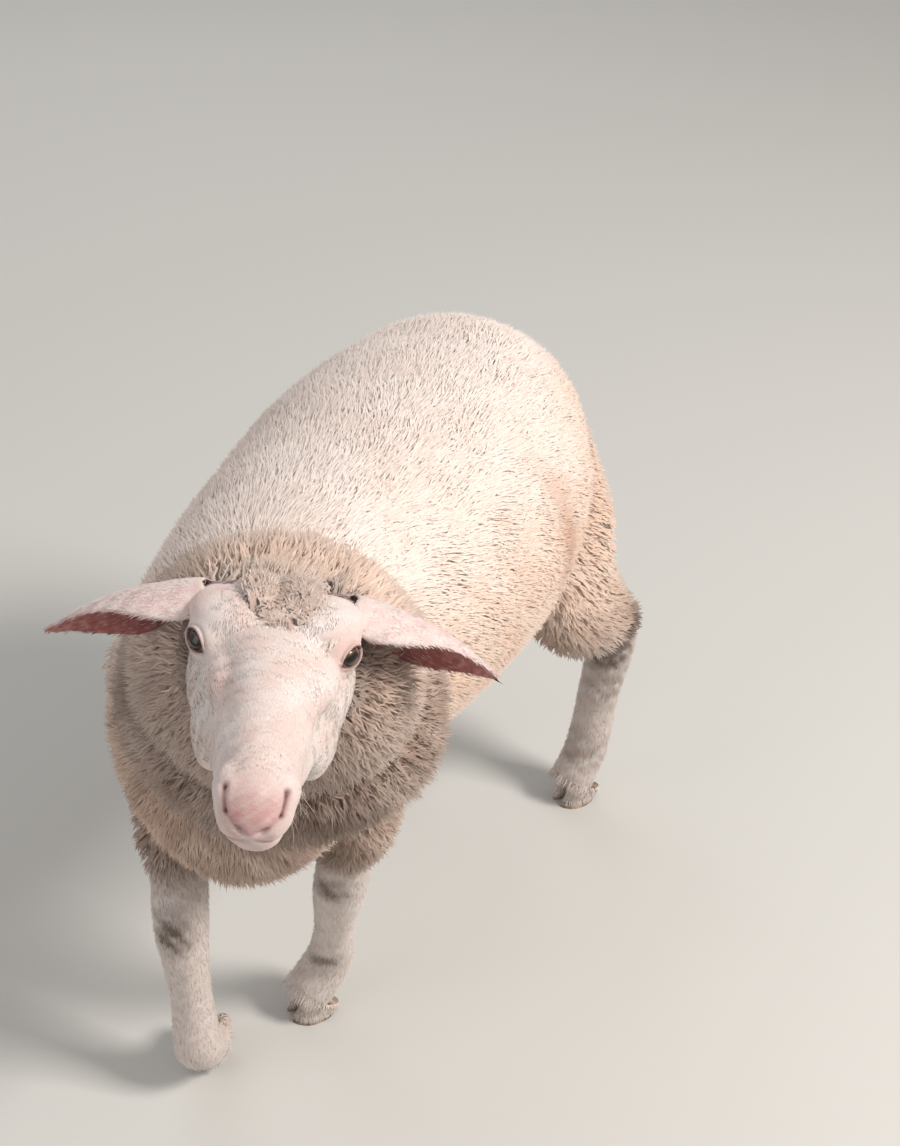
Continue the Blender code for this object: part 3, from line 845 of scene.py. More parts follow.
# Redder skin round the nostrils, and painted shade in the nostrils' slits, the nose's folds, the mouth's
# line, along the lids' edges and in the ear's hollow.
NOSTRIL_SKIN = linear("A85F66")
MOUTH_SHADE = linear("94555A")
LID_EDGE_SHADE = linear("5A2A2C")
EAR_HOLLOW_SHADE = linear("4C2725")
NOSE_CREASE_SHADE = linear("8C4852")
IRIS = linear("46321D")
IRIS_SPOKES = linear("74562F")
IRIS_EDGE = linear("33281A")
IRIS_RING = linear("1E1610")
PUPIL_BLACK = linear("0B0908")
EYE_WHITE = linear("A98E80")
EYE_VEINS = linear("6B4A42")
HORN_TONES = ("5A493D", "BCA995")


# Where the wool is darkened: painted shade in the crease of the flank in front of the left thigh, and a
# stain on the rump. Middle and half sizes of each.
FLANK_CREASE = ((0.180, 0.128, 0.535), (0.05, 0.020, 0.085))
STAINED_RUMP = ((0.125, 0.370, 0.620), (0.050, 0.110, 0.090))
# Patches of soil on the legs: middle, half sizes and strength.
SOIL_PATCHES = {
    "leg_front_right": (
        ((-0.050, -0.312, 0.246), (0.020, 0.022, 0.022), 1.1),
        ((-0.09, -0.24, 0.33), (0.05, 0.07, 0.06), 0.45),
    ),
    "leg_front_left": (
        ((0.068, -0.186, 0.262), (0.020, 0.020, 0.018), 0.9),
        ((0.031, -0.146, 0.098), (0.026, 0.020, 0.012), 0.7),
        ((0.09, -0.20, 0.34), (0.05, 0.05, 0.05), 0.35),
    ),
    "leg_hind_left": (
        ((0.164, 0.328, 0.262), (0.030, 0.040, 0.026), 2.4),
        ((0.182, 0.345, 0.292), (0.022, 0.030, 0.022), 1.7),
        ((0.180, 0.345, 0.20), (0.03, 0.03, 0.05), 0.5),
        ((0.140, 0.345, 0.09), (0.04, 0.04, 0.03), 0.4),
    ),
    "leg_hind_right": (
        ((-0.122, 0.290, 0.265), (0.050, 0.060, 0.030), 0.60),
    ),
}


def spot(points, centre, size):
    return bell(np.linalg.norm((points - np.array(centre)) / np.array(size), axis=1), 1.0)


def wool_colour(points, name):
    """The colour of the coat at its tips, from where it grows."""
    _, y, z = points.T
    cloud = ripple(points, 0.16, 11)
    fine = ripple(points, 0.035, 12)
    # Painted light: the wool is whiter and less peach towards the top, as sunlight falling on the back.
    high = smoothstep(0.50, 0.68, z + 0.02 * cloud)
    belly = smoothstep(0.42, 0.33, z)
    # The chest below the ruff is left rough, and its wool is darker and browner in patches.
    chest = smoothstep(-0.12, -0.22, y) * smoothstep(0.60, 0.48, z)
    colour = painted(
        CREAM_WOOL,
        (WHITE_WOOL, 0.75 * high),
        (PEACH_WOOL, np.clip(0.30 + 0.25 * cloud + 0.18 * fine, 0, 1) * (1 - 0.65 * high)),
        (GREY_WOOL, 0.65 * belly),
        (SOIL, 0.30 * belly * patchy(0.5, 0.5, fine)),
        # Painted shade in the flank's crease in front of the left thigh.
        (CREASE_SHADE, 0.55 * spot(points, *FLANK_CREASE)),
        (RUMP_STAIN, 0.42 * spot(points, *STAINED_RUMP)),
        (CHEST_TONE, chest * patchy(0.70, 0.25, fine)),
    )
    if name == "neck":
        front = smoothstep(-0.20, -0.30, y)
        colour = painted(colour, (mixed(CREAM_WOOL, GREY_WOOL, front), 0.55),
                         (NECK_DUST, patchy(0.25, 0.3, fine) * 0.7 * front))
    if name.startswith("leg"):
        colour = leg_colour(points, colour, name)
    if name == "tail":
        colour = mixed(colour, TAIL_STAIN, 0.45 * smoothstep(0.56, 0.46, z))
    return colour


def leg_colour(points, colour, name):
    z = points[:, 2]
    fine = ripple(points, 0.020, 21)
    hairy = smoothstep(0.36, 0.27, z) if "front" in name else smoothstep(0.33, 0.27, z)
    colour = mixed(colour, mixed(WHITE_HAIR, WARM_HAIR, 0.5 + 0.4 * fine), hairy)
    for centre, size, strength in SOIL_PATCHES[name]:
        ragged = np.clip(spot(points, centre, size) * (1 + 0.5 * fine), 0, 1)
        colour = mixed(colour, SOIL, np.clip(strength * ragged, 0, 0.9))
    return colour


def face_colour(points):
    """Skin and short hair of the head, in the head's own frame."""
    half, _ = folded(points)
    x, y, z = half.T
    fine = ripple(points, 0.012, 31)
    wide = ripple(points, 0.045, 32)
    pink = np.clip(0.07 + 0.07 * wide + 0.06 * fine, 0, 1)
    fold_start, fold_end = np.array(NOSE_FOLD)
    fold_height = np.interp(x, (fold_end[0], fold_start[0]), (fold_end[2], fold_start[2]))
    nose = smoothstep(-0.140, -0.172, y + 0.004 * fine) * smoothstep(0.024, 0.013, x)
    nose *= 0.35 + 0.65 * smoothstep(-0.002, 0.002, z - fold_height)
    nose *= 1 - 0.45 * smoothstep(-0.034, -0.012, z)
    slit, _ = to_segment(half, *NOSTRIL)
    colour = painted(
        WHITE_HAIR,
        (WARM_HAIR, patchy(0.35, 0.3, wide)),
        (PINK_SKIN, pink),
        (ROSE_SKIN, nose * patchy(0.62, 0.22, ripple(points, 0.006, 35))),
        (NOSTRIL_SKIN, 0.7 * bell(slit, 0.0032)),
        # Painted shade in the nose's folds and the groove to the lip.
        (NOSE_CREASE_SHADE, 0.85 * bell(to_segment(half, *NOSE_FOLD)[0], 0.0018)),
        (NOSE_CREASE_SHADE, 0.75 * bell(to_segment(half, *PHILTRUM)[0], 0.0014)),
        # Painted shadow inside the nostrils' slits.
        (HOLLOW_SHADE, 0.9 * bell(slit, 0.0016)),
    )
    # Painted shade along the mouth's line.
    for start, end in zip(MOUTH, MOUTH[1:]):
        colour = mixed(colour, MOUTH_SHADE, 0.50 * bell(to_segment(half, start, end)[0], 0.0016))
    outward, forward, upward = eye_axes()
    offset = half - EYE_MIDDLE
    a, b = offset @ forward, offset @ upward
    facing = (offset @ outward > 0) & (np.linalg.norm(offset, axis=1) < 0.030)
    rim = np.hypot(np.maximum(np.abs(a) - LID_OPENING[0], 0), np.maximum(np.abs(b) - lid_edge(a), 0))
    return painted(
        colour,
        # Lid skin, pinker and partly darkened as shade under the brow; painted shade along the lids' edges
        # and inside the opening.
        (LID_SKIN_AND_SHADE, 0.42 * bell(rim, 0.0040) * facing),
        (LID_EDGE_SHADE, 0.90 * bell(rim, 0.0019) * facing),
        (HOLLOW_SHADE, (rim < 1e-5) * 0.9 * facing),
        # Painted shade in the tear groove.
        (LID_SKIN_AND_SHADE, 0.35 * bell(to_segment(half, *TEAR_GROOVE)[0], 0.0035)),
    )


def ear_share(points, side):
    """How much a point is on the ear, its share along it, and 1 on the outer face or 0 on the inner."""
    place = ear_place(side)
    local = (points - place[:3, 3]) @ np.linalg.inv(place[:3, :3]).T
    t = local[:, 0] / EAR_LENGTH
    curl = EAR_ROOT_CURL + (EAR_TIP_CURL - EAR_ROOT_CURL) * np.clip(t, 0, 1) ** 2
    lifted = local[:, 2] - EAR_ARCH * np.sin(math.pi * np.clip(t, 0, 1))
    swell = 0.55 + 0.45 * np.sin(math.pi * np.clip(t + 0.12, 0, 1)) ** 0.7
    radius = EAR_WIDTH * swell * np.maximum(1 - np.clip(t, 0, 1) ** 4, 0.02) / (curl / 2)
    off_sheet = np.hypot(local[:, 1], lifted + radius) - radius
    angle = np.arctan2(-local[:, 1], lifted + radius) - EAR_ROOT_TWIST * (1 - smoothstep(0.05, 0.60, t))
    near_sheet = (np.abs(off_sheet) < 0.012) & (np.abs(angle) < curl / 2 + 0.25)
    within = smoothstep(0.02, 0.10, t) * (t < 1.1) * near_sheet
    in_opening = (off_sheet < -0.0008) & (t > -0.14) & (t < 0.30) & (local[:, 1] < 0.004)
    within = np.maximum(within, in_opening)
    return within, np.clip(t, 0, 1), smoothstep(-0.0006, 0.0006, off_sheet), local


def ear_colour(t, outer, local):
    fine = ripple(local, 0.010, 41)
    hair = mixed(WHITE_HAIR, PINK_SKIN, patchy(0.30, 0.15, fine))
    return painted(
        EAR_SKIN,
        # The inner skin is dark red, partly as painted shade in the ear's cup, and is painted darker still
        # towards the root, as shade in the ear's hollow.
        (EAR_HOLLOW_SHADE, smoothstep(0.80, 0.10, t)),
        (PINK_SKIN, patchy(0.25 * smoothstep(0.5, 1.0, t), 0.26, fine)),
        (hair, outer),
    )


# ---------------------------------------------------------------- assemble the skin


# Where the face's short hair ends, along the head.
FACE_BACK = 0.066
# The skin under the coat is painted darker than the wool on it, as shade in the coat's depths; the face's
# skin is a little darker than its pale hairs.
COAT_SHADE_ON_SKIN = 0.86
UNDER_HAIR = np.array((0.90, 0.86, 0.86))


def face_share(world):
    """1 where the short hair of the face grows, 0 in the wool behind it, from world places."""
    local = to_head(world)
    edge = FACE_BACK - 0.35 * np.maximum(-local[:, 2] - 0.03, 0) + 0.003 * ripple(world, 0.02, 51)
    edge -= 0.036 * smoothstep(0.044, 0.054, np.abs(local[:, 0])) * smoothstep(0.014, -0.004, local[:, 2])
    inside = np.abs(local[:, 0]) < 0.095
    return smoothstep(edge + 0.008, edge - 0.006, local[:, 1]) * inside * (local[:, 2] > -0.125)


def short_haired(points):
    """1 on the lower legs, where the hair is short."""
    return smoothstep(0.345, 0.285, points[:, 2])


def colour_skin(obj):
    points = points_of(obj)
    wool = wool_colour(points, "trunk")
    # Painted shade: the skin under the coat is darkened and browned, as shade between the tufts.
    colour = mixed(wool * COAT_SHADE_ON_SKIN, WOOL_DEPTH_SHADE, 0.16)
    legs = short_haired(points)
    for end, table in LEGS:
        for side, joints in table.items():
            low = np.array(joints["fetlock"])
            high = np.array(joints["knee" if end == "front" else "hock"])
            share = np.clip((points[:, 2] - low[2]) / (high[2] - low[2]), 0, 1.3)[:, None]
            axis = low[:2] + (high[:2] - low[:2]) * share
            near = np.linalg.norm(points[:, :2] - axis, axis=1) < 0.075
            colour = mixed(colour, leg_colour(points, wool, f"leg_{end}_{side}") * COAT_SHADE_ON_SKIN, legs * near)
    colour = mixed(colour, face_colour(to_head(points)) * UNDER_HAIR, face_share(points))
    for side in (LEFT, RIGHT):
        within, t, outer, local = ear_share(points, side)
        colour = mixed(colour, ear_colour(t, outer, local), within)
    set_colours(obj, "tint", colour)


def make_skin():
    """One skin from nose to tail: the body's, the head's and the ears', united."""
    body = body_skin()
    unite(body, head_skin(), "FAST")
    body.data.shade_smooth()
    colour_skin(body)
    return body


# ---------------------------------------------------------------- eyes


def make_eye(side, name):
    """An eyeball with a bulging cornea, an amber iris and a level pupil, round its own outward axis."""
    rings, steps = EYE_STEPS
    front = np.linspace(0, CORNEA_EDGE, FRONT_RINGS + 1)
    bend = np.concatenate((front, np.linspace(CORNEA_EDGE, math.pi, rings - FRONT_RINGS)[1:]))
    turn = np.linspace(0, 2 * math.pi, steps, endpoint=False)
    theta, phi = np.meshgrid(bend[1:-1], turn, indexing="ij")
    bulge = CORNEA_BULGE * smoothstep(0.66, 0.30, theta)
    radius = EYE_BALL + bulge
    across, out = np.sin(theta) * radius, np.cos(theta) * radius
    a, b = across * np.cos(phi), across * np.sin(phi)
    grid = np.stack((out, a, b), -1).reshape(-1, 3)
    local = np.concatenate((grid, [(EYE_BALL + CORNEA_BULGE, 0, 0), (-EYE_BALL, 0, 0)]))
    outward, forward, upward = eye_axes()
    axes = np.array((outward, forward, upward))
    points = (local @ axes + EYE_MIDDLE) * (side, 1, 1)
    faces = loft_faces(rings - 2, steps)
    last = (rings - 3) * steps
    for step in range(steps):
        after = (step + 1) % steps
        faces.append((len(local) - 2, after, step))
        faces.append((last + step, last + after, len(local) - 1))
    obj = turned_out(mesh_object(name, to_world(points), faces))
    set_colours(obj, "tint", eye_colour(local))
    obj.data.shade_smooth()
    return obj


def eye_colour(local):
    """Colours by the place on the eye's front: pupil, iris with spokes, its dark edge, and the white."""
    out, a, b = local.T
    distance = np.hypot(a, b)
    angle = np.arctan2(b, a)
    spokes = 0.5 + 0.3 * np.sin(angle * 37 + 3 * np.sin(angle * 5)) + 0.2 * np.sin(angle * 61 + 1.3)
    white = mixed(EYE_WHITE, EYE_VEINS, 0.4)
    edge = smoothstep(0.0072, 0.0082, distance + 0.0002 * np.sin(angle * 9))
    long, high = PUPIL
    pupil = (np.abs(a) / long) ** 3 + (np.abs(b) / high) ** 3
    return painted(
        IRIS,
        (IRIS_SPOKES, 0.6 * spokes),
        (IRIS_EDGE, smoothstep(0.0035, 0.0068, distance) * 0.6),
        (IRIS_RING, 0.9 * bell(distance - IRIS_RADIUS, 0.0009)),
        (white, edge),
        (PUPIL_BLACK, smoothstep(1.25, 0.9, pupil)),
        (white, (out < 0) * 1.0),
    )


# ---------------------------------------------------------------- claws


def cut_flat(bm, point, direction):
    geometry = bm.verts[:] + bm.edges[:] + bm.faces[:]
    cut = bmesh.ops.bisect_plane(
        bm, geom=geometry, plane_co=Vector(point), plane_no=Vector(direction), clear_outer=True
    )
    rim = [item for item in cut["geom_cut"] if isinstance(item, bmesh.types.BMEdge)]
    if rim:
        bmesh.ops.contextual_create(bm, geom=rim)


def make_claws(foot, joints):
    """Each foot's two claws, with rounded toes, low growth rings and flat soles."""
    path = {name: np.array(place) for name, place in joints.items()}
    along = path["toe"] - path["coronet"]
    is_folded = along[1] > 0
    level = unit(np.array((along[0], along[1], 0.0))) * (-1 if is_folded else 1)
    side = unit(np.cross((0, 0, 1.0), level))
    turned = np.array(Matrix.Rotation(FOLDED_SOLE_TILT if is_folded else 0, 3, Vector(side)))
    forward, up = turned @ level, turned @ np.array((0, 0, 1.0))
    middle = path["toe"] - forward * (CLAW_LENGTH / 2)
    top = path["coronet"] * (1 - CORONET_SHARE) + path["toe"] * CORONET_SHARE
    top_normal = unit(path["fetlock"] - path["toe"])
    sides, levels = CLAW_STEPS
    for which in (LEFT, RIGHT):
        loops = []
        for share in np.linspace(0, 1, levels):
            angle = np.linspace(0, 2 * math.pi, sides, endpoint=False)
            pointed = 1 - CLAW_POINT * np.maximum(np.sin(angle), 0) ** 3
            waves = math.sin(share * GROWTH_RINGS) * np.clip(np.sin(angle) + 0.6, 0, 1)
            rings = GROWTH_RING_HEIGHT * waves - 0.0004
            rim = 1 - 0.06 * bell(share, 0.05)
            across = CLAW_WIDTH / 2 * (1 + np.cos(angle) * (1 - 0.22 * share) * rim) * pointed
            lengthwise = (CLAW_LENGTH / 2 * (1 - 0.18 * share) * rim + rings) * np.sin(angle)
            loops.append(
                middle
                + np.outer(which * (CLAW_CLEFT / 2 + across), side)
                + np.outer(lengthwise - share * CLAW_HEIGHT * CLAW_SLOPE, forward)
                + up * (share * CLAW_HEIGHT)
            )
        points = np.concatenate(loops)
        if is_folded:
            points[:, 2] -= points[:, 2].min() + TIP_FLAT
        faces = [tuple(range(sides - 1, -1, -1)), tuple(range((levels - 1) * sides, levels * sides))]
        faces += loft_faces(levels, sides)
        place = "outer" if (which == LEFT) == foot.endswith("left") else "inner"
        node = f"claw_{foot}_{place}"
        obj = turned_out(mesh_object(node + "_horn", points, faces))
        with editing(obj) as bm:
            cut_flat(bm, (0, 0, 0), (0, 0, -1))
            cut_flat(bm, top, top_normal)
        obj.data.shade_smooth()
        obj.data.set_sharp_from_angle(angle=math.radians(50))
        yield obj, node


def make_dew_claws():
    """The two small horn nubs behind each fetlock, as one piece."""
    shells = []
    for _, table in LEGS:
        for joints in table.values():
            fetlock, coronet, toe = (np.array(joints[name]) for name in ("fetlock", "coronet", "toe"))
            along = unit(toe - fetlock)
            heel = unit(np.cross((1.0, 0, 0), along))
            heel = heel if heel[1] > 0 else -heel
            if toe[1] > coronet[1]:
                heel = unit(np.array((0.0, 0.5, 0.8)))
            for which in (LEFT, RIGHT):
                centre = fetlock + heel * DEW_CLAW_BACK + np.array((which * DEW_CLAW_OUT, 0, 0))
                centre = centre + along * DEW_CLAW_DOWN
                points, faces = ball(np.zeros(3), np.array(DEW_CLAW), 10)
                tilt = np.array(Vector(along * 0.8 + heel * 0.5).to_track_quat("Z", "Y").to_matrix())
                shells.append((points @ tilt.T + centre, faces))
    obj = joined("dew_claws", shells)
    obj.data.shade_smooth()
    return obj


# ---------------------------------------------------------------- coat

# Width of each tuft's patch on its piece's map.
TUFT_PATCH = 0.003


class Seeds:
    """Roots of tufts on the skin, with their normals, the way the coat lies and their chart places."""

    def __init__(self, root, normal, lie, chart, share=None):
        self.root, self.normal, self.lie, self.chart = root, normal, lie, chart
        self.share = chart[:, 0].copy() if share is None else share

    def pick(self, keep):
        return Seeds(self.root[keep], self.normal[keep], self.lie[keep], self.chart[keep], self.share[keep])

    def __len__(self):
        return len(self.root)


def sow(grid, centres, count, rng, density=None):
    """Even random places on a loft's grid of ring points: place, normal, way along, chart place."""
    wrapped = np.concatenate((grid, grid[:, :1]), axis=1)
    a, b = wrapped[:-1, :-1], wrapped[:-1, 1:]
    c, d = wrapped[1:, 1:], wrapped[1:, :-1]
    area = np.linalg.norm(np.cross(c - a, d - b), axis=-1) / 2
    weight = area if density is None else area * density((a + c) / 2)
    total = np.cumsum(weight.ravel())
    drawn = (np.arange(count) + rng.random(count)) / count * total[-1]
    cell = np.minimum(np.searchsorted(total, drawn), len(total) - 1)
    i, j = np.unravel_index(cell, area.shape)
    p, q = rng.random(count)[:, None], rng.random(count)[:, None]
    place = (a[i, j] * (1 - p) + d[i, j] * p) * (1 - q) + (b[i, j] * (1 - p) + c[i, j] * p) * q
    along = unit(d[i, j] + c[i, j] - a[i, j] - b[i, j])
    normal = unit(np.cross(c[i, j] - a[i, j], d[i, j] - b[i, j]))
    outward = place - centres[i]
    normal *= np.sign((normal * outward).sum(1))[:, None]
    s = (i + p[:, 0]) / (len(grid) - 1)
    t = (j + q[:, 0]) / grid.shape[1]
    return place, normal, along, np.stack((s, t), 1)


def settle(place, normal, tree, buried):
    """Moves places to the skin, and says which of them lie deep inside it."""
    root, face_normal = np.empty_like(place), np.empty_like(place)
    keep = np.ones(len(place), bool)
    for index, point in enumerate(place.tolist()):
        spot_there, facing, _, distance = tree.find_nearest(point)
        root[index], face_normal[index] = spot_there, facing
        keep[index] = distance < 0.03
    keep &= ((place - root) * face_normal).sum(1) > -buried
    return root, unit(face_normal + 0.35 * normal), keep


def tangent(ways, normals):
    return unit(ways - (ways * normals).sum(1, keepdims=True) * normals)


def tuft_faces(rings):
    """Faces of one three-sided tuft, with its point and its foot, and the fibre map of each."""
    faces, uv = [], []
    tip = rings * 3
    for ring in range(rings):
        low, high = ring / rings, (ring + 1) / rings
        for k in range(3):
            after = (k + 1) % 3
            u, v = k / 3, (k + 1) / 3
            if ring == rings - 1:
                faces.append((ring * 3 + k, ring * 3 + after, tip))
                uv.append(((u, low), (v, low), ((u + v) / 2, high)))
                continue
            faces.append((ring * 3 + k, ring * 3 + after, ring * 3 + 3 + after))
            uv.append(((u, low), (v, low), (v, high)))
            faces.append((ring * 3 + k, ring * 3 + 3 + after, ring * 3 + 3 + k))
            uv.append(((u, low), (v, high), (u, high)))
    faces.append((0, 2, 1))
    uv.append(((0, 0), (0.5, 0.1), (1, 0)))
    return np.array(faces), np.array(uv, float)


class Coat:
    """Gathers tufts and makes one piece of them."""

    def __init__(self):
        self.points, self.faces, self.maps, self.fibres = [], [], [], []
        self.tints, self.normals, self.count = [], [], 0

    def add(self, seeds, tint, rng, length, width, rise, arch=0.3, rings=2, crimp=0.0, turns=0.0,
            pull=None, flat=0.55, deep=0.45, soft=0.6, phase=None, taper=0.75):
        """Tapered three-sided tufts. Sizes are single numbers or one for each seed."""
        n = len(seeds)
        if not n:
            return

        def for_each(value):
            return np.broadcast_to(np.asarray(value, float), n)[:, None, None]

        t = np.linspace(0, 1, rings + 1)[None, :, None]
        length, rise, crimp = for_each(length), for_each(rise), for_each(crimp)
        normal, lie = seeds.normal[:, None], seeds.lie[:, None]
        side = np.cross(seeds.normal, seeds.lie)[:, None]
        phase = rng.uniform(0, 2 * math.pi, n) if phase is None else phase
        wave = 2 * math.pi * turns * t + phase[:, None, None]
        centre = seeds.root[:, None] + normal * (length * (rise * (t - arch * t**2) - 0.06))
        centre = centre + lie * (length * np.sqrt(np.maximum(1 - rise**2, 0.03)) * t)
        centre = centre + (side * np.sin(wave) + normal * 0.7 * np.cos(wave)) * crimp * np.sqrt(t)
        if pull is not None:
            centre = centre + pull[:, None] * t**1.5
        way = unit(np.gradient(centre, axis=1))
        across = unit(side - (side * way).sum(-1, keepdims=True) * way)
        above = np.cross(way, across)
        profile = np.where(t < 1, 1 - (1 - taper) * t, 0)
        half = for_each(width) * profile
        angles = np.array((math.radians(90), math.radians(210), math.radians(330)))
        corner_out = (across[:, :, None] * np.cos(angles)[:, None]
                      + above[:, :, None] * np.sin(angles)[:, None])
        corner = (across[:, :, None] * np.cos(angles)[:, None]
                  + above[:, :, None] * (np.sin(angles) * flat)[:, None]) * half[..., None]
        body = (centre[:, :-1, None] + corner[:, :-1]).reshape(n, -1, 3)
        points = np.concatenate((body, centre[:, -1:]), axis=1)
        facing = corner_out[:, :-1] * (1 - soft) + normal[:, None] * soft
        facing = np.concatenate((unit(facing).reshape(n, -1, 3), normal), axis=1)

        faces, uv = tuft_faces(rings)
        verts = points.shape[1]
        self.faces.append((faces[None] + (np.arange(n) * verts)[:, None, None] + self.count).reshape(-1, 3))
        patch = (uv - 0.5) * TUFT_PATCH
        self.maps.append((seeds.chart[:, None, None] + patch[None]).reshape(-1, 2))
        self.fibres.append(np.tile(uv[None], (n, 1, 1, 1)).reshape(-1, 2))
        self.points.append(points.reshape(-1, 3))
        self.normals.append(facing.reshape(-1, 3))
        share = np.append(np.repeat(t[0, :-1, 0], 3), 1.0)
        light = rng.normal(1.0, 0.05, n)[:, None, None]
        # Painted shade: each tuft is darker and browner towards its root, by the share deep, as shade in the
        # depths of the coat.
        depth = (deep * (1 - share) ** 1.3)[None, :, None]
        shade = tint[:, None] * light
        shade = shade * (1 - depth) + (shade * 0.40 + WOOL_DEPTH_SHADE * 0.35) * depth
        self.tints.append(shade.reshape(-1, 3))
        self.count += n * verts

    def piece(self, name):
        points = np.concatenate(self.points) + SHIFT
        faces = np.concatenate(self.faces)
        mesh = bpy.data.meshes.new(name)
        mesh.vertices.add(len(points))
        mesh.vertices.foreach_set("co", points.ravel())
        mesh.loops.add(len(faces) * 3)
        mesh.loops.foreach_set("vertex_index", faces.ravel())
        mesh.polygons.add(len(faces))
        mesh.polygons.foreach_set("loop_start", np.arange(len(faces)) * 3)
        for layer, values in (("OFBake", self.maps), ("Fibre", self.fibres)):
            made = mesh.uv_layers.new(name=layer)
            made.uv.foreach_set("vector", np.concatenate(values).ravel())
        mesh.update(calc_edges=True)
        mesh.shade_smooth()
        obj = bpy.data.objects.new(name, mesh)
        bpy.context.scene.collection.objects.link(obj)
        set_colours(obj, "tint", np.concatenate(self.tints))
        mesh.normals_split_custom_set_from_vertices(np.concatenate(self.normals).tolist())
        return obj


def in_chart(seeds, column, columns, low=0.0, high=1.0):
    """Places the seeds' own unwrap in one column of the piece's map, with a margin round it."""
    s = (seeds.share - low) / (high - low)
    margin = 0.004
    u = (column + margin + (1 - 2 * margin) * seeds.chart[:, 1]) / columns
    seeds.chart = np.stack((u, margin + (1 - 2 * margin) * np.clip(s, 0, 1)), 1)
    return seeds


def clumps(seeds, spacing, rng):
    """For each seed, the way to the middle of its lock and the lock's number."""
    area_each = spacing**2
    spread = seeds.root.max(0) - seeds.root.min(0)
    walls = spread[0] * spread[1] + spread[1] * spread[2] + spread[0] * spread[2]
    count = max(int(2.2 * walls / area_each), 4)
    chosen = rng.choice(len(seeds), min(count, len(seeds)), replace=False)
    tree = KDTree(len(chosen))
    for index, seed in enumerate(chosen):
        tree.insert(seeds.root[seed], index)
    tree.balance()
    owner = np.array([tree.find(place)[1] for place in seeds.root.tolist()])
    return seeds.root[chosen][owner] - seeds.root, owner


def seeds_of(name, count, tree, rng, density=None, buried=0.008):
    form = FORMS[name]
    place, normal, along, chart = sow(form.points(), form.centres, count, rng, density)
    root, normal, keep = settle(place, normal, tree, buried)
    seeds = Seeds(root, normal, tangent(along, normal), chart)
    return seeds.pick(keep)


def sow_on_faces(skin, weight, count, rng):
    """Random places and normals on a piece's own faces, as dense as the weight asks."""
    skin.data.calc_loop_triangles()
    corners = np.empty(len(skin.data.loop_triangles) * 3, np.int32)
    skin.data.loop_triangles.foreach_get("vertices", corners)
    points, normals = points_of(skin)[corners], normals_of(skin)[corners]
    points, normals = points.reshape(-1, 3, 3), normals.reshape(-1, 3, 3)
    size = np.linalg.norm(np.cross(points[:, 1] - points[:, 0], points[:, 2] - points[:, 0]), axis=1)
    total = np.cumsum(size * weight(points.mean(1)))
    drawn = (np.arange(count) + rng.random(count)) / count * total[-1]
    face = np.minimum(np.searchsorted(total, drawn), len(total) - 1)
    share = rng.dirichlet((1, 1, 1), count)[:, :, None]
    return (points[face] * share).sum(1), unit((normals[face] * share).sum(1))


def poll_seeds(skin, count, rng):
    """Roots on the poll, charted round the head's axis."""
    root, normal = sow_on_faces(skin, behind_the_brow, count, rng)
    local = to_head(root)
    around = np.arctan2(local[:, 0], local[:, 2] + 0.10) / math.pi + 0.5
    chart = np.stack((np.clip((local[:, 1] - 0.02) / 0.18, 0, 1), around), 1)
    backward = tangent(np.tile((0.0, 1.0, 0.0), (count, 1)), normal)
    return Seeds(root, normal, backward, chart)


def behind_the_brow(points):
    """1 on the poll, the crimped roll of wool from ear to ear behind the brow."""
    x, y, z = to_head(points).T
    poll = smoothstep(0.050, 0.060, y) * smoothstep(0.195, 0.180, y) * (z > -0.055) * (np.abs(x) < 0.115)
    behind_the_eye = smoothstep(0.026, 0.034, y) * (y < 0.07) * (z < 0.012) * (z > -0.060)
    behind_the_eye *= (np.abs(x) > 0.046) * (np.abs(x) < 0.095)
    return np.maximum(poll, behind_the_eye)


def unwanted(seeds, on_face):
    """Drops seeds on the ears, and those on the face or those behind it."""
    face = face_share(seeds.root) > 0.5
    ear = np.maximum(ear_share(seeds.root, LEFT)[0], ear_share(seeds.root, RIGHT)[0]) > 0.25
    half, _ = folded(to_head(seeds.root))
    ear |= np.linalg.norm(half - EAR_BASE - (0.008, -0.006, -0.006), axis=1) < 0.014
    return seeds.pick((face == on_face) & ~ear)


def lean(seeds, ways, spread, rng):
    """The way each tuft lies: the given way along the skin, turned a little at random."""
    loose = rng.normal(0, spread, seeds.root.shape)
    return tangent(unit(ways) + loose, seeds.normal)


def grow_trunk(tree):
    rng = np.random.default_rng(1)
    seeds = unwanted(seeds_of("trunk", TRUNK_TUFTS, tree, rng), False)
    drift = np.stack([ripple(seeds.root, 0.09, 61 + axis) for axis in range(3)], 1)
    seeds.lie = lean(seeds, seeds.lie + (0, 0, -0.55) + 0.30 * drift, 0.22, rng)
    tint = wool_colour(seeds.root, "trunk")
    edges = np.quantile(seeds.share, np.linspace(0, 1, TRUNK_BANDS + 1))
    for band in range(TRUNK_BANDS):
        low, high = edges[band], edges[band + 1]
        chosen = (seeds.share >= low) & ((seeds.share < high) | (band == TRUNK_BANDS - 1))
        some = in_chart(seeds.pick(chosen), 0, 1, low, high)
        n = len(some)
        coat = Coat()
        puff = 1 + 0.10 * ripple(some.root, 0.018, 71) + 0.06 * ripple(some.root, 0.07, 72)
        coat.add(some, tint[chosen], rng, TUFT_LENGTH["trunk"] * puff * rng.uniform(0.8, 1.12, n),
                 rng.uniform(*TUFT_WIDTH["trunk"], n), rng.uniform(0.27, 0.50, n), arch=0.0, rings=1,
                 flat=0.35, deep=0.10, soft=0.93)
        yield coat.piece(f"fleece_trunk_{band + 1}")


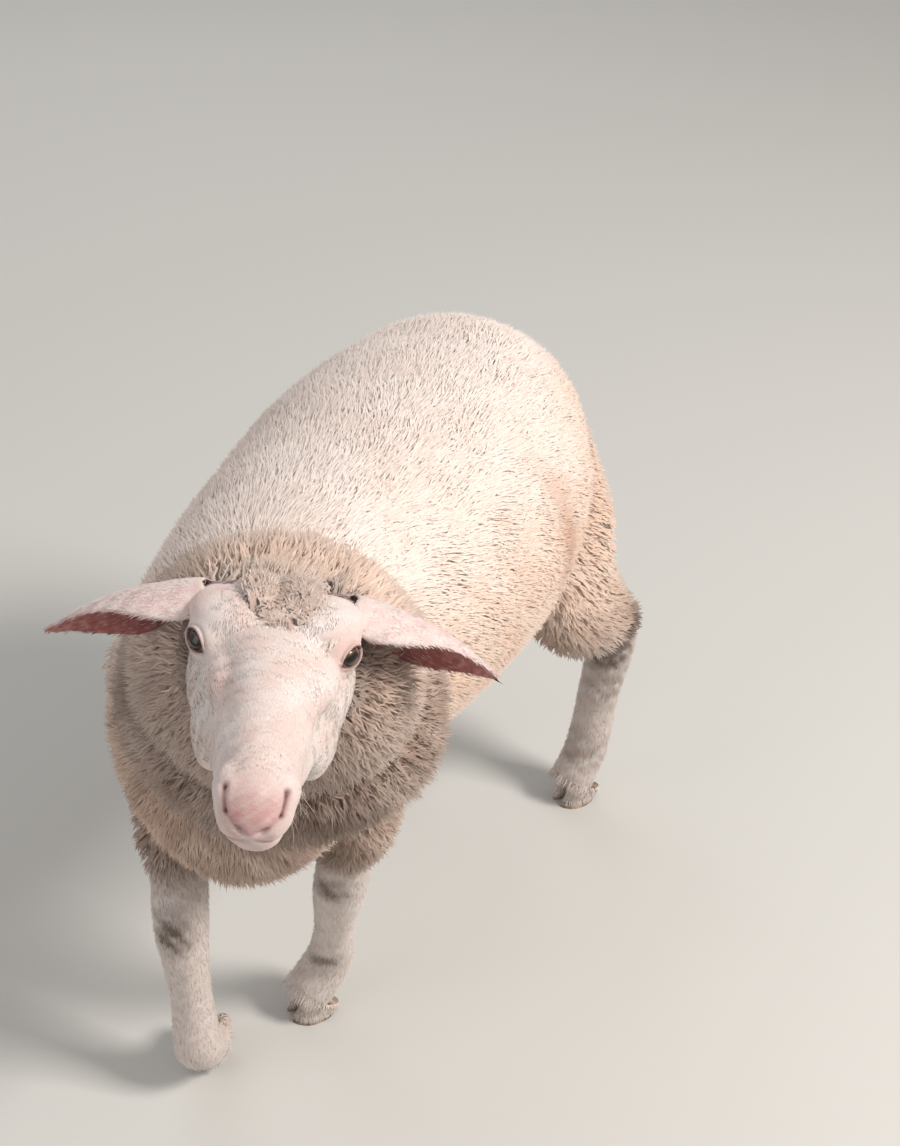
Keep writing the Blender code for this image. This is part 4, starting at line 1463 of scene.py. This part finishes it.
def grow_neck(tree):
    """The ruff: longer crimped locks in clumps, in two rolls that ring the neck with a groove between."""
    rng = np.random.default_rng(2)
    seeds = unwanted(seeds_of("neck", NECK_TUFTS, tree, rng, buried=0.012), False)
    seeds = seeds.pick(behind_the_brow(seeds.root) < 0.5)
    seeds.lie = lean(seeds, -0.5 * seeds.lie + (0, 0, -0.4), 0.80, rng)
    pull, owner = clumps(seeds, LOCK_SPACING["neck"], rng)
    lock_rng = np.random.default_rng(3)
    lock_long = lock_rng.uniform(0.80, 1.10, owner.max() + 1)[owner]
    lock_light = lock_rng.normal(1, 0.07, owner.max() + 1)[owner][:, None]
    n = len(seeds)
    share, front = collar_share(seeds.root)
    high = np.interp(seeds.share, np.linspace(0, 1, len(COLLAR_DEPTH)), COLLAR_DEPTH)
    groove = front * np.clip(sum(bell(share - middle, width) for middle, width, _ in COLLAR_GROOVES), 0, 1)
    first = COLLAR_GROOVES[0][0]
    inner_roll = front * smoothstep(first, first + 0.08, share)
    outer_roll = front * smoothstep(first, first - 0.08, share)
    stain_and_shade = np.clip(0.35 + 0.35 * ripple(seeds.root, 0.06, 74) + 0.25 * ripple(seeds.root, 0.02, 75), 0, 1)
    tint = painted(
        wool_colour(seeds.root, "neck") * lock_light,
        (INNER_ROLL, 0.60 * inner_roll),
        # The outer roll is tan wool, darkened in patches, partly as painted shade.
        (OUTER_ROLL_AND_SHADE, 0.85 * outer_roll * np.clip(stain_and_shade + 0.15, 0, 1)),
        # Painted shade: the lower front of the ruff is darkened, as shade under the head.
        (LOW_ROLL_SHADE, 0.55 * front * smoothstep(0.50, 0.36, seeds.root[:, 2])),
        # Painted shadow in the groove between the rolls.
        (GROOVE_SHADOW, 0.92 * groove),
    )
    long = 1.02 * high * (1 - 0.60 * groove) * (1 + (lock_long - 1) * (1 - 0.7 * inner_roll))
    long *= rng.uniform(0.9, 1.06, n)
    wide = rng.uniform(*TUFT_WIDTH["neck"], n)
    rise = 0.94 + 0.06 * rng.random(n)
    phase = owner * 2.4 + rng.normal(0, 0.5, n)
    pull *= (0.95 - 0.40 * inner_roll)[:, None]
    half = np.median(seeds.share)
    for band, chosen in enumerate((seeds.share < half, seeds.share >= half)):
        low, high = (0, half) if band == 0 else (half, 1)
        coat = Coat()
        coat.add(in_chart(seeds.pick(chosen), 0, 1, low, high), tint[chosen], rng, long[chosen],
                 wide[chosen], rise[chosen], arch=0.0, rings=2, crimp=0.0026, turns=0.9, phase=phase[chosen],
                 pull=pull[chosen], deep=0.62, soft=0.82)
        yield coat.piece(f"fleece_neck_{band + 1}")


def claw_seeds(claw, rng):
    """Roots of the short hair that runs down over a claw, down to a bare rim of horn."""
    points = points_of(claw)
    centre, low, high = points.mean(0), points[:, 2].min(), points[:, 2].max()

    def upper_part(places):
        return smoothstep(low + 0.005, low + 0.014, places[:, 2])

    root, normal = sow_on_faces(claw, upper_part, CLAW_TUFTS, rng)
    around = np.arctan2(root[:, 0] - centre[0], root[:, 1] - centre[1]) / (2 * math.pi) + 0.5
    chart = np.stack((0.94 + 0.06 * (high - root[:, 2]) / (high - low), around), 1)
    down = np.array((0.0, -0.35, -1.0)) + rng.normal(0, 0.12, root.shape)
    return Seeds(root, normal, tangent(down, normal), chart)


def coronet_seeds(name, tree, rng):
    """Roots of the fringe that falls from the coronet over the tops of the claws."""
    form = FORMS[name]
    place, normal, along, chart = sow(form.points()[-7:], form.centres[-7:], FRINGE_TUFTS, rng)
    chart[:, 0] = 0.88 + 0.06 * chart[:, 0]
    root, normal, keep = settle(place, normal, tree, 0.006)
    keep &= np.abs((normal * along).sum(1)) < 0.6
    seeds = Seeds(root, normal, unit(along + rng.normal(0, 0.10, root.shape)), chart)
    return in_chart(seeds.pick(keep), 0, 1)


def grow_legs(tree, claws):
    """Wool on the thighs and forearms that gives way to short hair below."""
    for index, name in enumerate(("leg_front_left", "leg_front_right", "leg_hind_left", "leg_hind_right")):
        rng = np.random.default_rng(10 + index)
        seeds = unwanted(seeds_of(name, LEG_TUFTS, tree, rng, buried=0.006), False)
        seeds.lie = lean(seeds, seeds.lie + (0, 0.35, 0), 0.25, rng)
        n = len(seeds)
        hairy = short_haired(seeds.root)
        if "hind" in name:
            hairy = smoothstep(0.300, 0.270, seeds.root[:, 2])
        pull, owner = clumps(seeds, LOCK_SPACING["leg"], rng)
        tint = wool_colour(seeds.root, name)
        coat = Coat()
        in_chart(seeds, 0, 1)
        long = TUFT_LENGTH["leg wool"] * (1 - hairy) + TUFT_LENGTH["leg hair"] * hairy
        long = long * rng.uniform(0.75, 1.15, n)
        wide = (LEG_WOOL_WIDTH * (1 - hairy) + LEG_HAIR_WIDTH * hairy) * rng.uniform(0.7, 1.1, n)
        rise = 0.84 * (1 - hairy) + 0.34 * hairy
        for chosen, rings in ((hairy < 0.6, 3), (hairy >= 0.6, 1)):
            coat.add(seeds.pick(chosen), tint[chosen], rng, long[chosen], wide[chosen], rise[chosen],
                     arch=0.2, rings=rings, crimp=0.0016 * (1 - hairy[chosen]) * (rings > 1), turns=1.3,
                     phase=owner[chosen] * 2.4, pull=(pull * (0.75 * (1 - hairy))[:, None])[chosen],
                     deep=0.32 if rings > 1 else 0.15, soft=0.8)
        fringe = coronet_seeds(name, tree, rng)
        n = len(fringe)
        reach = np.clip(fringe.root[:, 2] - 0.006, 0.003, 0.017)
        coat.add(fringe, wool_colour(fringe.root, name), rng, reach * rng.uniform(0.75, 1.0, n),
                 rng.uniform(*TUFT_WIDTH["fringe"], n), 0.16, arch=0.3, rings=2, deep=0.12)
        for claw in claws[name.replace("leg_", "")]:
            some = in_chart(claw_seeds(claw, rng), 0, 1)
            reach = TUFT_LENGTH["claw"] * np.clip((some.root[:, 2] - 0.001) / 0.010, 0.3, 1)
            coat.add(some, wool_colour(some.root, name), rng, reach * rng.uniform(0.7, 1.1, len(some)),
                     CLAW_HAIR_WIDTH, 0.24, rings=1, deep=0.15, soft=0.7)
        yield coat.piece("hair_" + name)


def grow_tail(tree):
    rng = np.random.default_rng(20)
    seeds = seeds_of("tail", TAIL_TUFTS, tree, rng, buried=0.006)
    seeds.lie = lean(seeds, seeds.lie, 0.2, rng)
    pull, owner = clumps(seeds, LOCK_SPACING["tail"], rng)
    n = len(seeds)
    coat = Coat()
    coat.add(in_chart(seeds, 0, 1), wool_colour(seeds.root, "tail"), rng,
             TUFT_LENGTH["tail"] * rng.uniform(0.7, 1.15, n), rng.uniform(*TUFT_WIDTH["tail"], n), 0.6,
             rings=2, crimp=0.001, turns=0.8, phase=owner * 2.4, pull=0.6 * pull)
    return coat.piece("fleece_tail")


def head_seeds(count, tree, rng, density=None):
    grid = HEAD_FORM.points()
    place, normal, along, chart = sow(grid, HEAD_FORM.centres, count, rng, density)
    place, normal, along = to_world(place), normal @ HEAD_PLACE[:3, :3].T, along @ HEAD_PLACE[:3, :3].T
    root, normal, keep = settle(place, normal, tree, 0.022)
    return Seeds(root, normal, tangent(along, normal), chart).pick(keep)


def grow_face(tree):
    """Fine short hair, thinning out to nothing on the nose, lips and lids."""
    rng = np.random.default_rng(30)
    seeds = unwanted(head_seeds(FACE_TUFTS, tree, rng), True)
    local = to_head(seeds.root)
    half, _ = folded(local)
    outward, forward, upward = eye_axes()
    offset = half - EYE_MIDDLE
    lid = np.hypot(offset @ forward * 0.75, offset @ upward)
    bare = (local[:, 1] < -0.153) | ((lid < 0.0115) & (offset @ outward > -0.01))
    bare |= (to_segment(half, *NOSTRIL)[0] < 0.006) | (to_mouth(half) < 0.003)
    seeds, local = seeds.pick(~bare), local[~bare]
    seeds.lie = lean(seeds, seeds.lie + (0, 0, -0.2), 0.18, rng)
    back = smoothstep(-0.12, 0.04, local[:, 1])
    n = len(seeds)
    tint = face_colour(local) * 1.06
    coat = Coat()
    coat.add(in_chart(seeds, 0, 1), tint, rng, (0.0045 + 0.0040 * back) * rng.uniform(0.7, 1.2, n),
             (0.00045 + 0.00030 * back) * rng.uniform(0.8, 1.2, n), 0.15, rings=1, deep=0.0, soft=1.0)
    some = (local[:, 1] < -0.10) & (local[:, 2] < -0.03) & (rng.random(n) < 0.02)
    # Whiskers on the muzzle.
    coat.add(in_chart(seeds.pick(some), 0, 1), tint[some], rng,
             TUFT_LENGTH["whisker"] * rng.uniform(0.5, 1.1, some.sum()), WHISKER_WIDTH, 0.55,
             rings=3, deep=0.0)
    return coat.piece("hair_face")


def ear_seeds(skin, side, rng):
    """Roots of the hair on an ear, thick on its outer face and at its rim, sparse inside."""
    def hairy(places):
        within, t, outer, _ = ear_share(places, side)
        return (within > 0.5) * (0.10 + 0.90 * outer) * smoothstep(1.02, 0.9, t)

    root, normal = sow_on_faces(skin, hairy, EAR_TUFTS, rng)
    _, t, _, local = ear_share(root, side)
    across = np.clip(0.5 + local[:, 1] / (2.4 * EAR_WIDTH), 0, 1)
    along = np.tile(ear_place(side)[:3, 0], (len(root), 1))
    lie = tangent(along + rng.normal(0, 0.16, root.shape), normal)
    return Seeds(root, normal, lie, np.stack((t, across), 1))


def grow_ears(skin):
    """Fine pale hair that runs from the ear's root to its tip."""
    rng = np.random.default_rng(35)
    coat = Coat()
    for column, side in enumerate((LEFT, RIGHT)):
        seeds = ear_seeds(skin, side, rng)
        _, t, outer, local = ear_share(seeds.root, side)
        n = len(seeds)
        tint = ear_colour(t, np.maximum(outer, 0.55), local) * 1.05
        coat.add(in_chart(seeds, column, 2), tint, rng, TUFT_LENGTH["ear"] * rng.uniform(0.7, 1.2, n),
                 rng.uniform(*TUFT_WIDTH["ear"], n), 0.17, rings=1, deep=0.0, soft=0.88)
    return coat.piece("hair_ears")


def grow_poll(tree, skin):
    """Crimped wool over the poll behind the brow, and the forelock that comes down between the brows."""
    rng = np.random.default_rng(31)

    seeds = poll_seeds(skin, POLL_TUFTS, rng)
    seeds = unwanted(seeds, False)
    local = to_head(seeds.root)
    lock_rng = np.random.default_rng(32)
    seeds.lie = lean(seeds, np.tile((0, 0.5, -0.3), (len(seeds), 1)), 0.45, rng)
    pull, owner = clumps(seeds, LOCK_SPACING["poll"], rng)
    tint = mixed(GREY_WOOL, CREAM_WOOL, patchy(0.5, 0.3, ripple(local, 0.02, 33)))
    tint *= lock_rng.normal(1, 0.09, owner.max() + 1)[owner][:, None]
    n = len(seeds)
    below_the_ear = smoothstep(0.070, 0.055, local[:, 1]) * smoothstep(0.02, 0.0, local[:, 2])
    # Painted shade: the wool below the ear is darkened.
    tint = mixed(tint, UNDER_EAR_SHADE, 0.75 * below_the_ear)
    coat = Coat()
    long = TUFT_LENGTH["poll"] * (1 - 0.5 * below_the_ear) * rng.uniform(0.75, 1.1, n)
    coat.add(in_chart(seeds, 0, 2), tint, rng, long, rng.uniform(*TUFT_WIDTH["poll"], n), 0.92, arch=0.1,
             rings=3, crimp=0.0022, turns=1.4, phase=owner * 2.4 + rng.normal(0, 0.4, n),
             pull=0.95 * pull, deep=0.60, soft=0.8)

    def thick_in_the_middle(place):
        thick = bell(place[..., 0] - 0.004, 0.023) * bell(place[..., 1] - 0.030, 0.030)
        return np.maximum(thick - 0.15, 0) * (place[..., 2] > 0)

    seeds = head_seeds(FORELOCK_TUFTS, tree, rng, thick_in_the_middle)
    local = to_head(seeds.root)
    seeds.lie = lean(seeds, -seeds.lie, 0.5, rng)
    pull, owner = clumps(seeds, LOCK_SPACING["forelock"], rng)
    pale = 0.2 + 0.3 * ripple(local, 0.012, 34) + 0.3 * smoothstep(0.02, 0.04, abs(local[:, 0]))
    tint = mixed(FORELOCK_WOOL, WHITE_WOOL, np.clip(pale, 0, 1))
    n = len(seeds)
    reach = 1 - 0.6 * smoothstep(0.016, 0.040, abs(local[:, 0]))
    reach *= 0.45 + 0.55 * smoothstep(-0.005, 0.025, local[:, 1])
    coat.add(in_chart(seeds, 1, 2), tint, rng, TUFT_LENGTH["forelock"] * reach * rng.uniform(0.75, 1.1, n),
             rng.uniform(*TUFT_WIDTH["forelock"], n), 0.84, arch=0.3, rings=3, crimp=0.0015, turns=1.3,
             phase=owner * 2.4 + rng.normal(0, 0.4, n), pull=0.95 * pull, deep=0.55, soft=0.82)
    return coat.piece("wool_poll")


# ---------------------------------------------------------------- materials

# Noise scales, in cells to a metre: soft clouds about 6 mm across in the wool and 11 mm in the horn,
# and flat hair on the skin as ridges about 1 mm wide, drawn out along the head.
MOTTLE_SCALE = 160.0
HORN_SCALE = 90.0
STRAND_SCALE = 1100.0
STRAND_STRETCH = 0.18
WOOL_SHEEN = (1.0, 0.93, 0.86, 1)
# Red light travels farthest in skin.
SKIN_SCATTER = (1.0, 0.45, 0.30)


def add_node(tree, kind, links=None, **settings):
    """Adds a node, sets its properties and sockets by name, and links what is given."""
    node = tree.nodes.new(kind)
    for name, value in settings.items():
        if hasattr(node, name):
            setattr(node, name, value)
        else:
            node.inputs[name.replace("_", " ")].default_value = value
    for name, source in (links or {}).items():
        tree.links.new(source, node.inputs[name])
    return node


def new_material(name, **sockets):
    material = bpy.data.materials.new(name)
    material.use_nodes = True
    shader = material.node_tree.nodes["Principled BSDF"]
    for socket, value in sockets.items():
        shader.inputs[socket.replace("_", " ")].default_value = value
    return material, material.node_tree, shader


def tinted(tree, shader, level=None):
    """Takes the base colour from the points' own tint, made lighter and darker by a level if given."""
    tint = add_node(tree, "ShaderNodeAttribute", attribute_name="tint")
    colour = tint.outputs["Color"]
    if level is not None:
        links = {0: colour, "Scale": level.outputs["Result"]}
        colour = add_node(tree, "ShaderNodeVectorMath", links, operation="SCALE").outputs["Vector"]
    tree.links.new(colour, shader.inputs["Base Color"])


def ridged(tree, shader, height, strength, distance):
    """Bumps the shader's surface by a noise."""
    bump = add_node(tree, "ShaderNodeBump", {"Height": height.outputs["Fac"]},
                    Strength=strength, Distance=distance)
    tree.links.new(bump.outputs["Normal"], shader.inputs["Normal"])


def wool_material():
    """Wool: matt, with a faint edge sheen from loose fibres. Fibre ridges run along each lock."""
    material, tree, shader = new_material("wool", Roughness=0.92, Specular_IOR_Level=0.25, IOR=1.55,
                                          Sheen_Weight=0.35, Sheen_Roughness=0.5)
    shader.inputs["Sheen Tint"].default_value = WOOL_SHEEN
    place = add_node(tree, "ShaderNodeTexCoord")
    mottle = add_node(tree, "ShaderNodeTexNoise", {"Vector": place.outputs["Object"]},
                      Scale=MOTTLE_SCALE, Detail=3.0)
    level = add_node(tree, "ShaderNodeMapRange", {"Value": mottle.outputs["Fac"]}, To_Min=0.88, To_Max=1.12)
    tinted(tree, shader, level)
    fibre = add_node(tree, "ShaderNodeUVMap", uv_map="Fibre")
    thin = add_node(tree, "ShaderNodeMapping", {"Vector": fibre.outputs["UV"]}, Scale=(14.0, 1.2, 1.0))
    strands = add_node(tree, "ShaderNodeTexNoise", {"Vector": thin.outputs["Vector"]},
                       Scale=1.0, Detail=2.0)
    ridged(tree, shader, strands, 0.35, 0.0006)
    return material


def hair_material():
    """Short hair: smoother than wool, with a little more shine along the strands."""
    material, tree, shader = new_material("short hair", Roughness=0.70, Specular_IOR_Level=0.35, IOR=1.55,
                                          Sheen_Weight=0.2, Sheen_Roughness=0.4)
    tinted(tree, shader)
    return material


def skin_material():
    """Skin under the coat: a low shine, softened by light that passes into it, and flat hair as ridges."""
    material, tree, shader = new_material("skin", Roughness=0.62, IOR=1.42, Subsurface_Weight=0.12,
                                          Subsurface_Scale=0.004, Sheen_Weight=0.15, Sheen_Roughness=0.5)
    shader.inputs["Subsurface Radius"].default_value = SKIN_SCATTER
    place = add_node(tree, "ShaderNodeTexCoord")
    turned = add_node(tree, "ShaderNodeMapping", {"Vector": place.outputs["Object"]}, vector_type="TEXTURE",
                      Rotation=(-NOSE_LIFT, HEAD_TILT_LEFT, HEAD_TURN_LEFT))
    drawn = add_node(tree, "ShaderNodeMapping", {"Vector": turned.outputs["Vector"]},
                     Scale=(1.0, STRAND_STRETCH, 1.0))
    strands = add_node(tree, "ShaderNodeTexNoise", {"Vector": drawn.outputs["Vector"]},
                       Scale=STRAND_SCALE, Detail=2.0)
    level = add_node(tree, "ShaderNodeMapRange", {"Value": strands.outputs["Fac"]},
                     To_Min=0.80, To_Max=1.14)
    tinted(tree, shader, level)
    ridged(tree, shader, strands, 0.45, 0.0008)
    return material


def eye_material():
    """A wet eye: the iris under a clear smooth film."""
    material, tree, shader = new_material("eye", Roughness=0.30, IOR=1.38, Coat_Weight=1.0,
                                          Coat_Roughness=0.02, Coat_IOR=1.376)
    tinted(tree, shader)
    return material


def horn_material():
    """Claw horn: dull and dry, darker with soil, with growth lines."""
    material, tree, shader = new_material("claw horn", Roughness=0.62, IOR=1.54)
    place = add_node(tree, "ShaderNodeTexCoord")
    mottle = add_node(tree, "ShaderNodeTexNoise", {"Vector": place.outputs["Object"]},
                      Scale=HORN_SCALE, Detail=4.0)
    ramp = add_node(tree, "ShaderNodeValToRGB", {"Fac": mottle.outputs["Fac"]})
    for element, code, position in zip(ramp.color_ramp.elements, HORN_TONES, (0.35, 0.70)):
        element.position = position
        element.color = (*linear(code), 1)
    tree.links.new(ramp.outputs["Color"], shader.inputs["Base Color"])
    ridged(tree, shader, mottle, 0.4, 0.001)
    return material


# ---------------------------------------------------------------- the animal


def main():
    wool, hair, skin_look, eye_look, horn = (
        wool_material(), hair_material(), skin_material(), eye_material(), horn_material()
    )

    def place(obj, material, slot, *nodes, moved=False):
        if not moved:
            set_points(obj, points_of(obj) + SHIFT)
        obj.data.materials.clear()
        obj.data.materials.append(material)
        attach(obj, "root")
        if nodes:
            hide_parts(*nodes)

    skin = make_skin()
    tree = BVHTree.FromPolygons(
        points_of(skin).tolist(), [tuple(polygon.vertices) for polygon in skin.data.polygons]
    )
    for coat in grow_trunk(tree):
        place(coat, wool, "fleece", moved=True)
    for coat in grow_neck(tree):
        place(coat, wool, "fleece", moved=True)
    place(grow_tail(tree), wool, "fleece", moved=True)
    claws = {}
    for end, table in LEGS:
        for side, joints in table.items():
            claws[f"{end}_{side}"] = list(make_claws(f"{end}_{side}", joints))
    for coat in grow_legs(tree, {foot: [claw for claw, _ in pair] for foot, pair in claws.items()}):
        place(coat, wool, "leg hair", moved=True)
    place(grow_face(tree), hair, "face hair", moved=True)
    place(grow_ears(skin), hair, "face hair", moved=True)
    place(grow_poll(tree, skin), wool, "fleece", moved=True)
    place(skin, skin_look, "face hair", "head", "neck", "trunk", "tail", "ear_left", "ear_right",
          "leg_front_left", "leg_front_right", "leg_hind_left", "leg_hind_right")
    place(make_eye(LEFT, "eyeball_left"), eye_look, "eye", "eye_left")
    place(make_eye(RIGHT, "eyeball_right"), eye_look, "eye", "eye_right")
    for pair in claws.values():
        for obj, node in pair:
            place(obj, horn, "claw horn", node)
    place(make_dew_claws(), horn, "claw horn")


# Lights: name, place, size in metres, power in watts and colour. All are aimed at the body's middle.
LIGHTS = (
    ("key", (2.9, 0.3, 3.1), 1.1, 155.0, "FFFAF5"),
    ("fill", (-1.6, -3.0, 2.2), 2.5, 27.0, "F4F6FA"),
    ("back", (-2.4, 2.6, 2.6), 3.0, 24.0, "F4F6FA"),
)
LIGHT_AIM = Vector((0, 0, 0.45))
WORLD_STRENGTH = 0.50
FLOOR_REACH = 30.0

CAMERA_PLACE = np.array((0.785, -1.455, 1.628))
CAMERA_TURN = math.radians(24.85)
CAMERA_DIP = math.radians(33.8)
CAMERA_ROLL = math.radians(1.15)
SENSOR_WIDTH = 36.0
FOCAL_LENGTH = 59.7


def make_floor():
    """A pale matt floor."""
    points = np.array(((-1, -1, 0), (1, -1, 0), (1, 1, 0), (-1, 1, 0))) * FLOOR_REACH
    floor = mesh_object("floor", points, [(0, 1, 2, 3)])
    material, _, shader = new_material("studio floor", Roughness=0.9, Specular_IOR_Level=0.2)
    shader.inputs["Base Color"].default_value = (*linear("CFCDC8"), 1)
    floor.data.materials.append(material)
    floor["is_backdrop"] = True


def make_lights():
    world = bpy.data.worlds.new("studio")
    world.use_nodes = True
    background = world.node_tree.nodes["Background"]
    background.inputs["Color"].default_value = (*linear("F0EFEE"), 1)
    background.inputs["Strength"].default_value = WORLD_STRENGTH
    bpy.context.scene.world = world
    bpy.context.scene.view_settings.view_transform = "Standard"
    for name, place, size, power, code in LIGHTS:
        light = bpy.data.lights.new(name, "AREA")
        light.size = size
        light.energy = power
        light.color = linear(code)
        lamp = bpy.data.objects.new(name, light)
        lamp.location = place
        lamp.rotation_euler = (LIGHT_AIM - Vector(place)).to_track_quat("-Z", "Y").to_euler()
        bpy.context.scene.collection.objects.link(lamp)


def make_camera():
    """Stands before the sheep's left shoulder and looks down on it."""
    turn, dip, roll = CAMERA_TURN, CAMERA_DIP, CAMERA_ROLL
    look = np.array((-math.sin(turn) * math.cos(dip), math.cos(turn) * math.cos(dip), -math.sin(dip)))
    right = np.array((math.cos(turn), math.sin(turn), 0.0))
    up = np.cross(right, look)
    across = right * math.cos(roll) + up * math.sin(roll)
    upward = -right * math.sin(roll) + up * math.cos(roll)
    data = bpy.data.cameras.new("camera")
    data.sensor_width, data.lens = SENSOR_WIDTH, FOCAL_LENGTH
    camera = bpy.data.objects.new("camera", data)
    turned = Matrix(np.array((across, upward, -look)).T.tolist()).to_4x4()
    camera.matrix_world = Matrix.Translation(Vector(CAMERA_PLACE + SHIFT)) @ turned
    bpy.context.scene.collection.objects.link(camera)
    bpy.context.scene.camera = camera


eyes = [np.array(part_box(name)).mean(axis=0) for name in ("eye_left", "eye_right")]
SHIFT = np.mean(eyes, axis=0) - to_world(EYE_PLACE * (0, 1, 1))
SHIFT[2] = 0.0

main()
make_floor()
make_lights()
make_camera()

boxes = {"cad": CAD_BOX, "visual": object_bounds()}
{name: [[float(v) for v in corner] for corner in box] for name, box in boxes.items()}
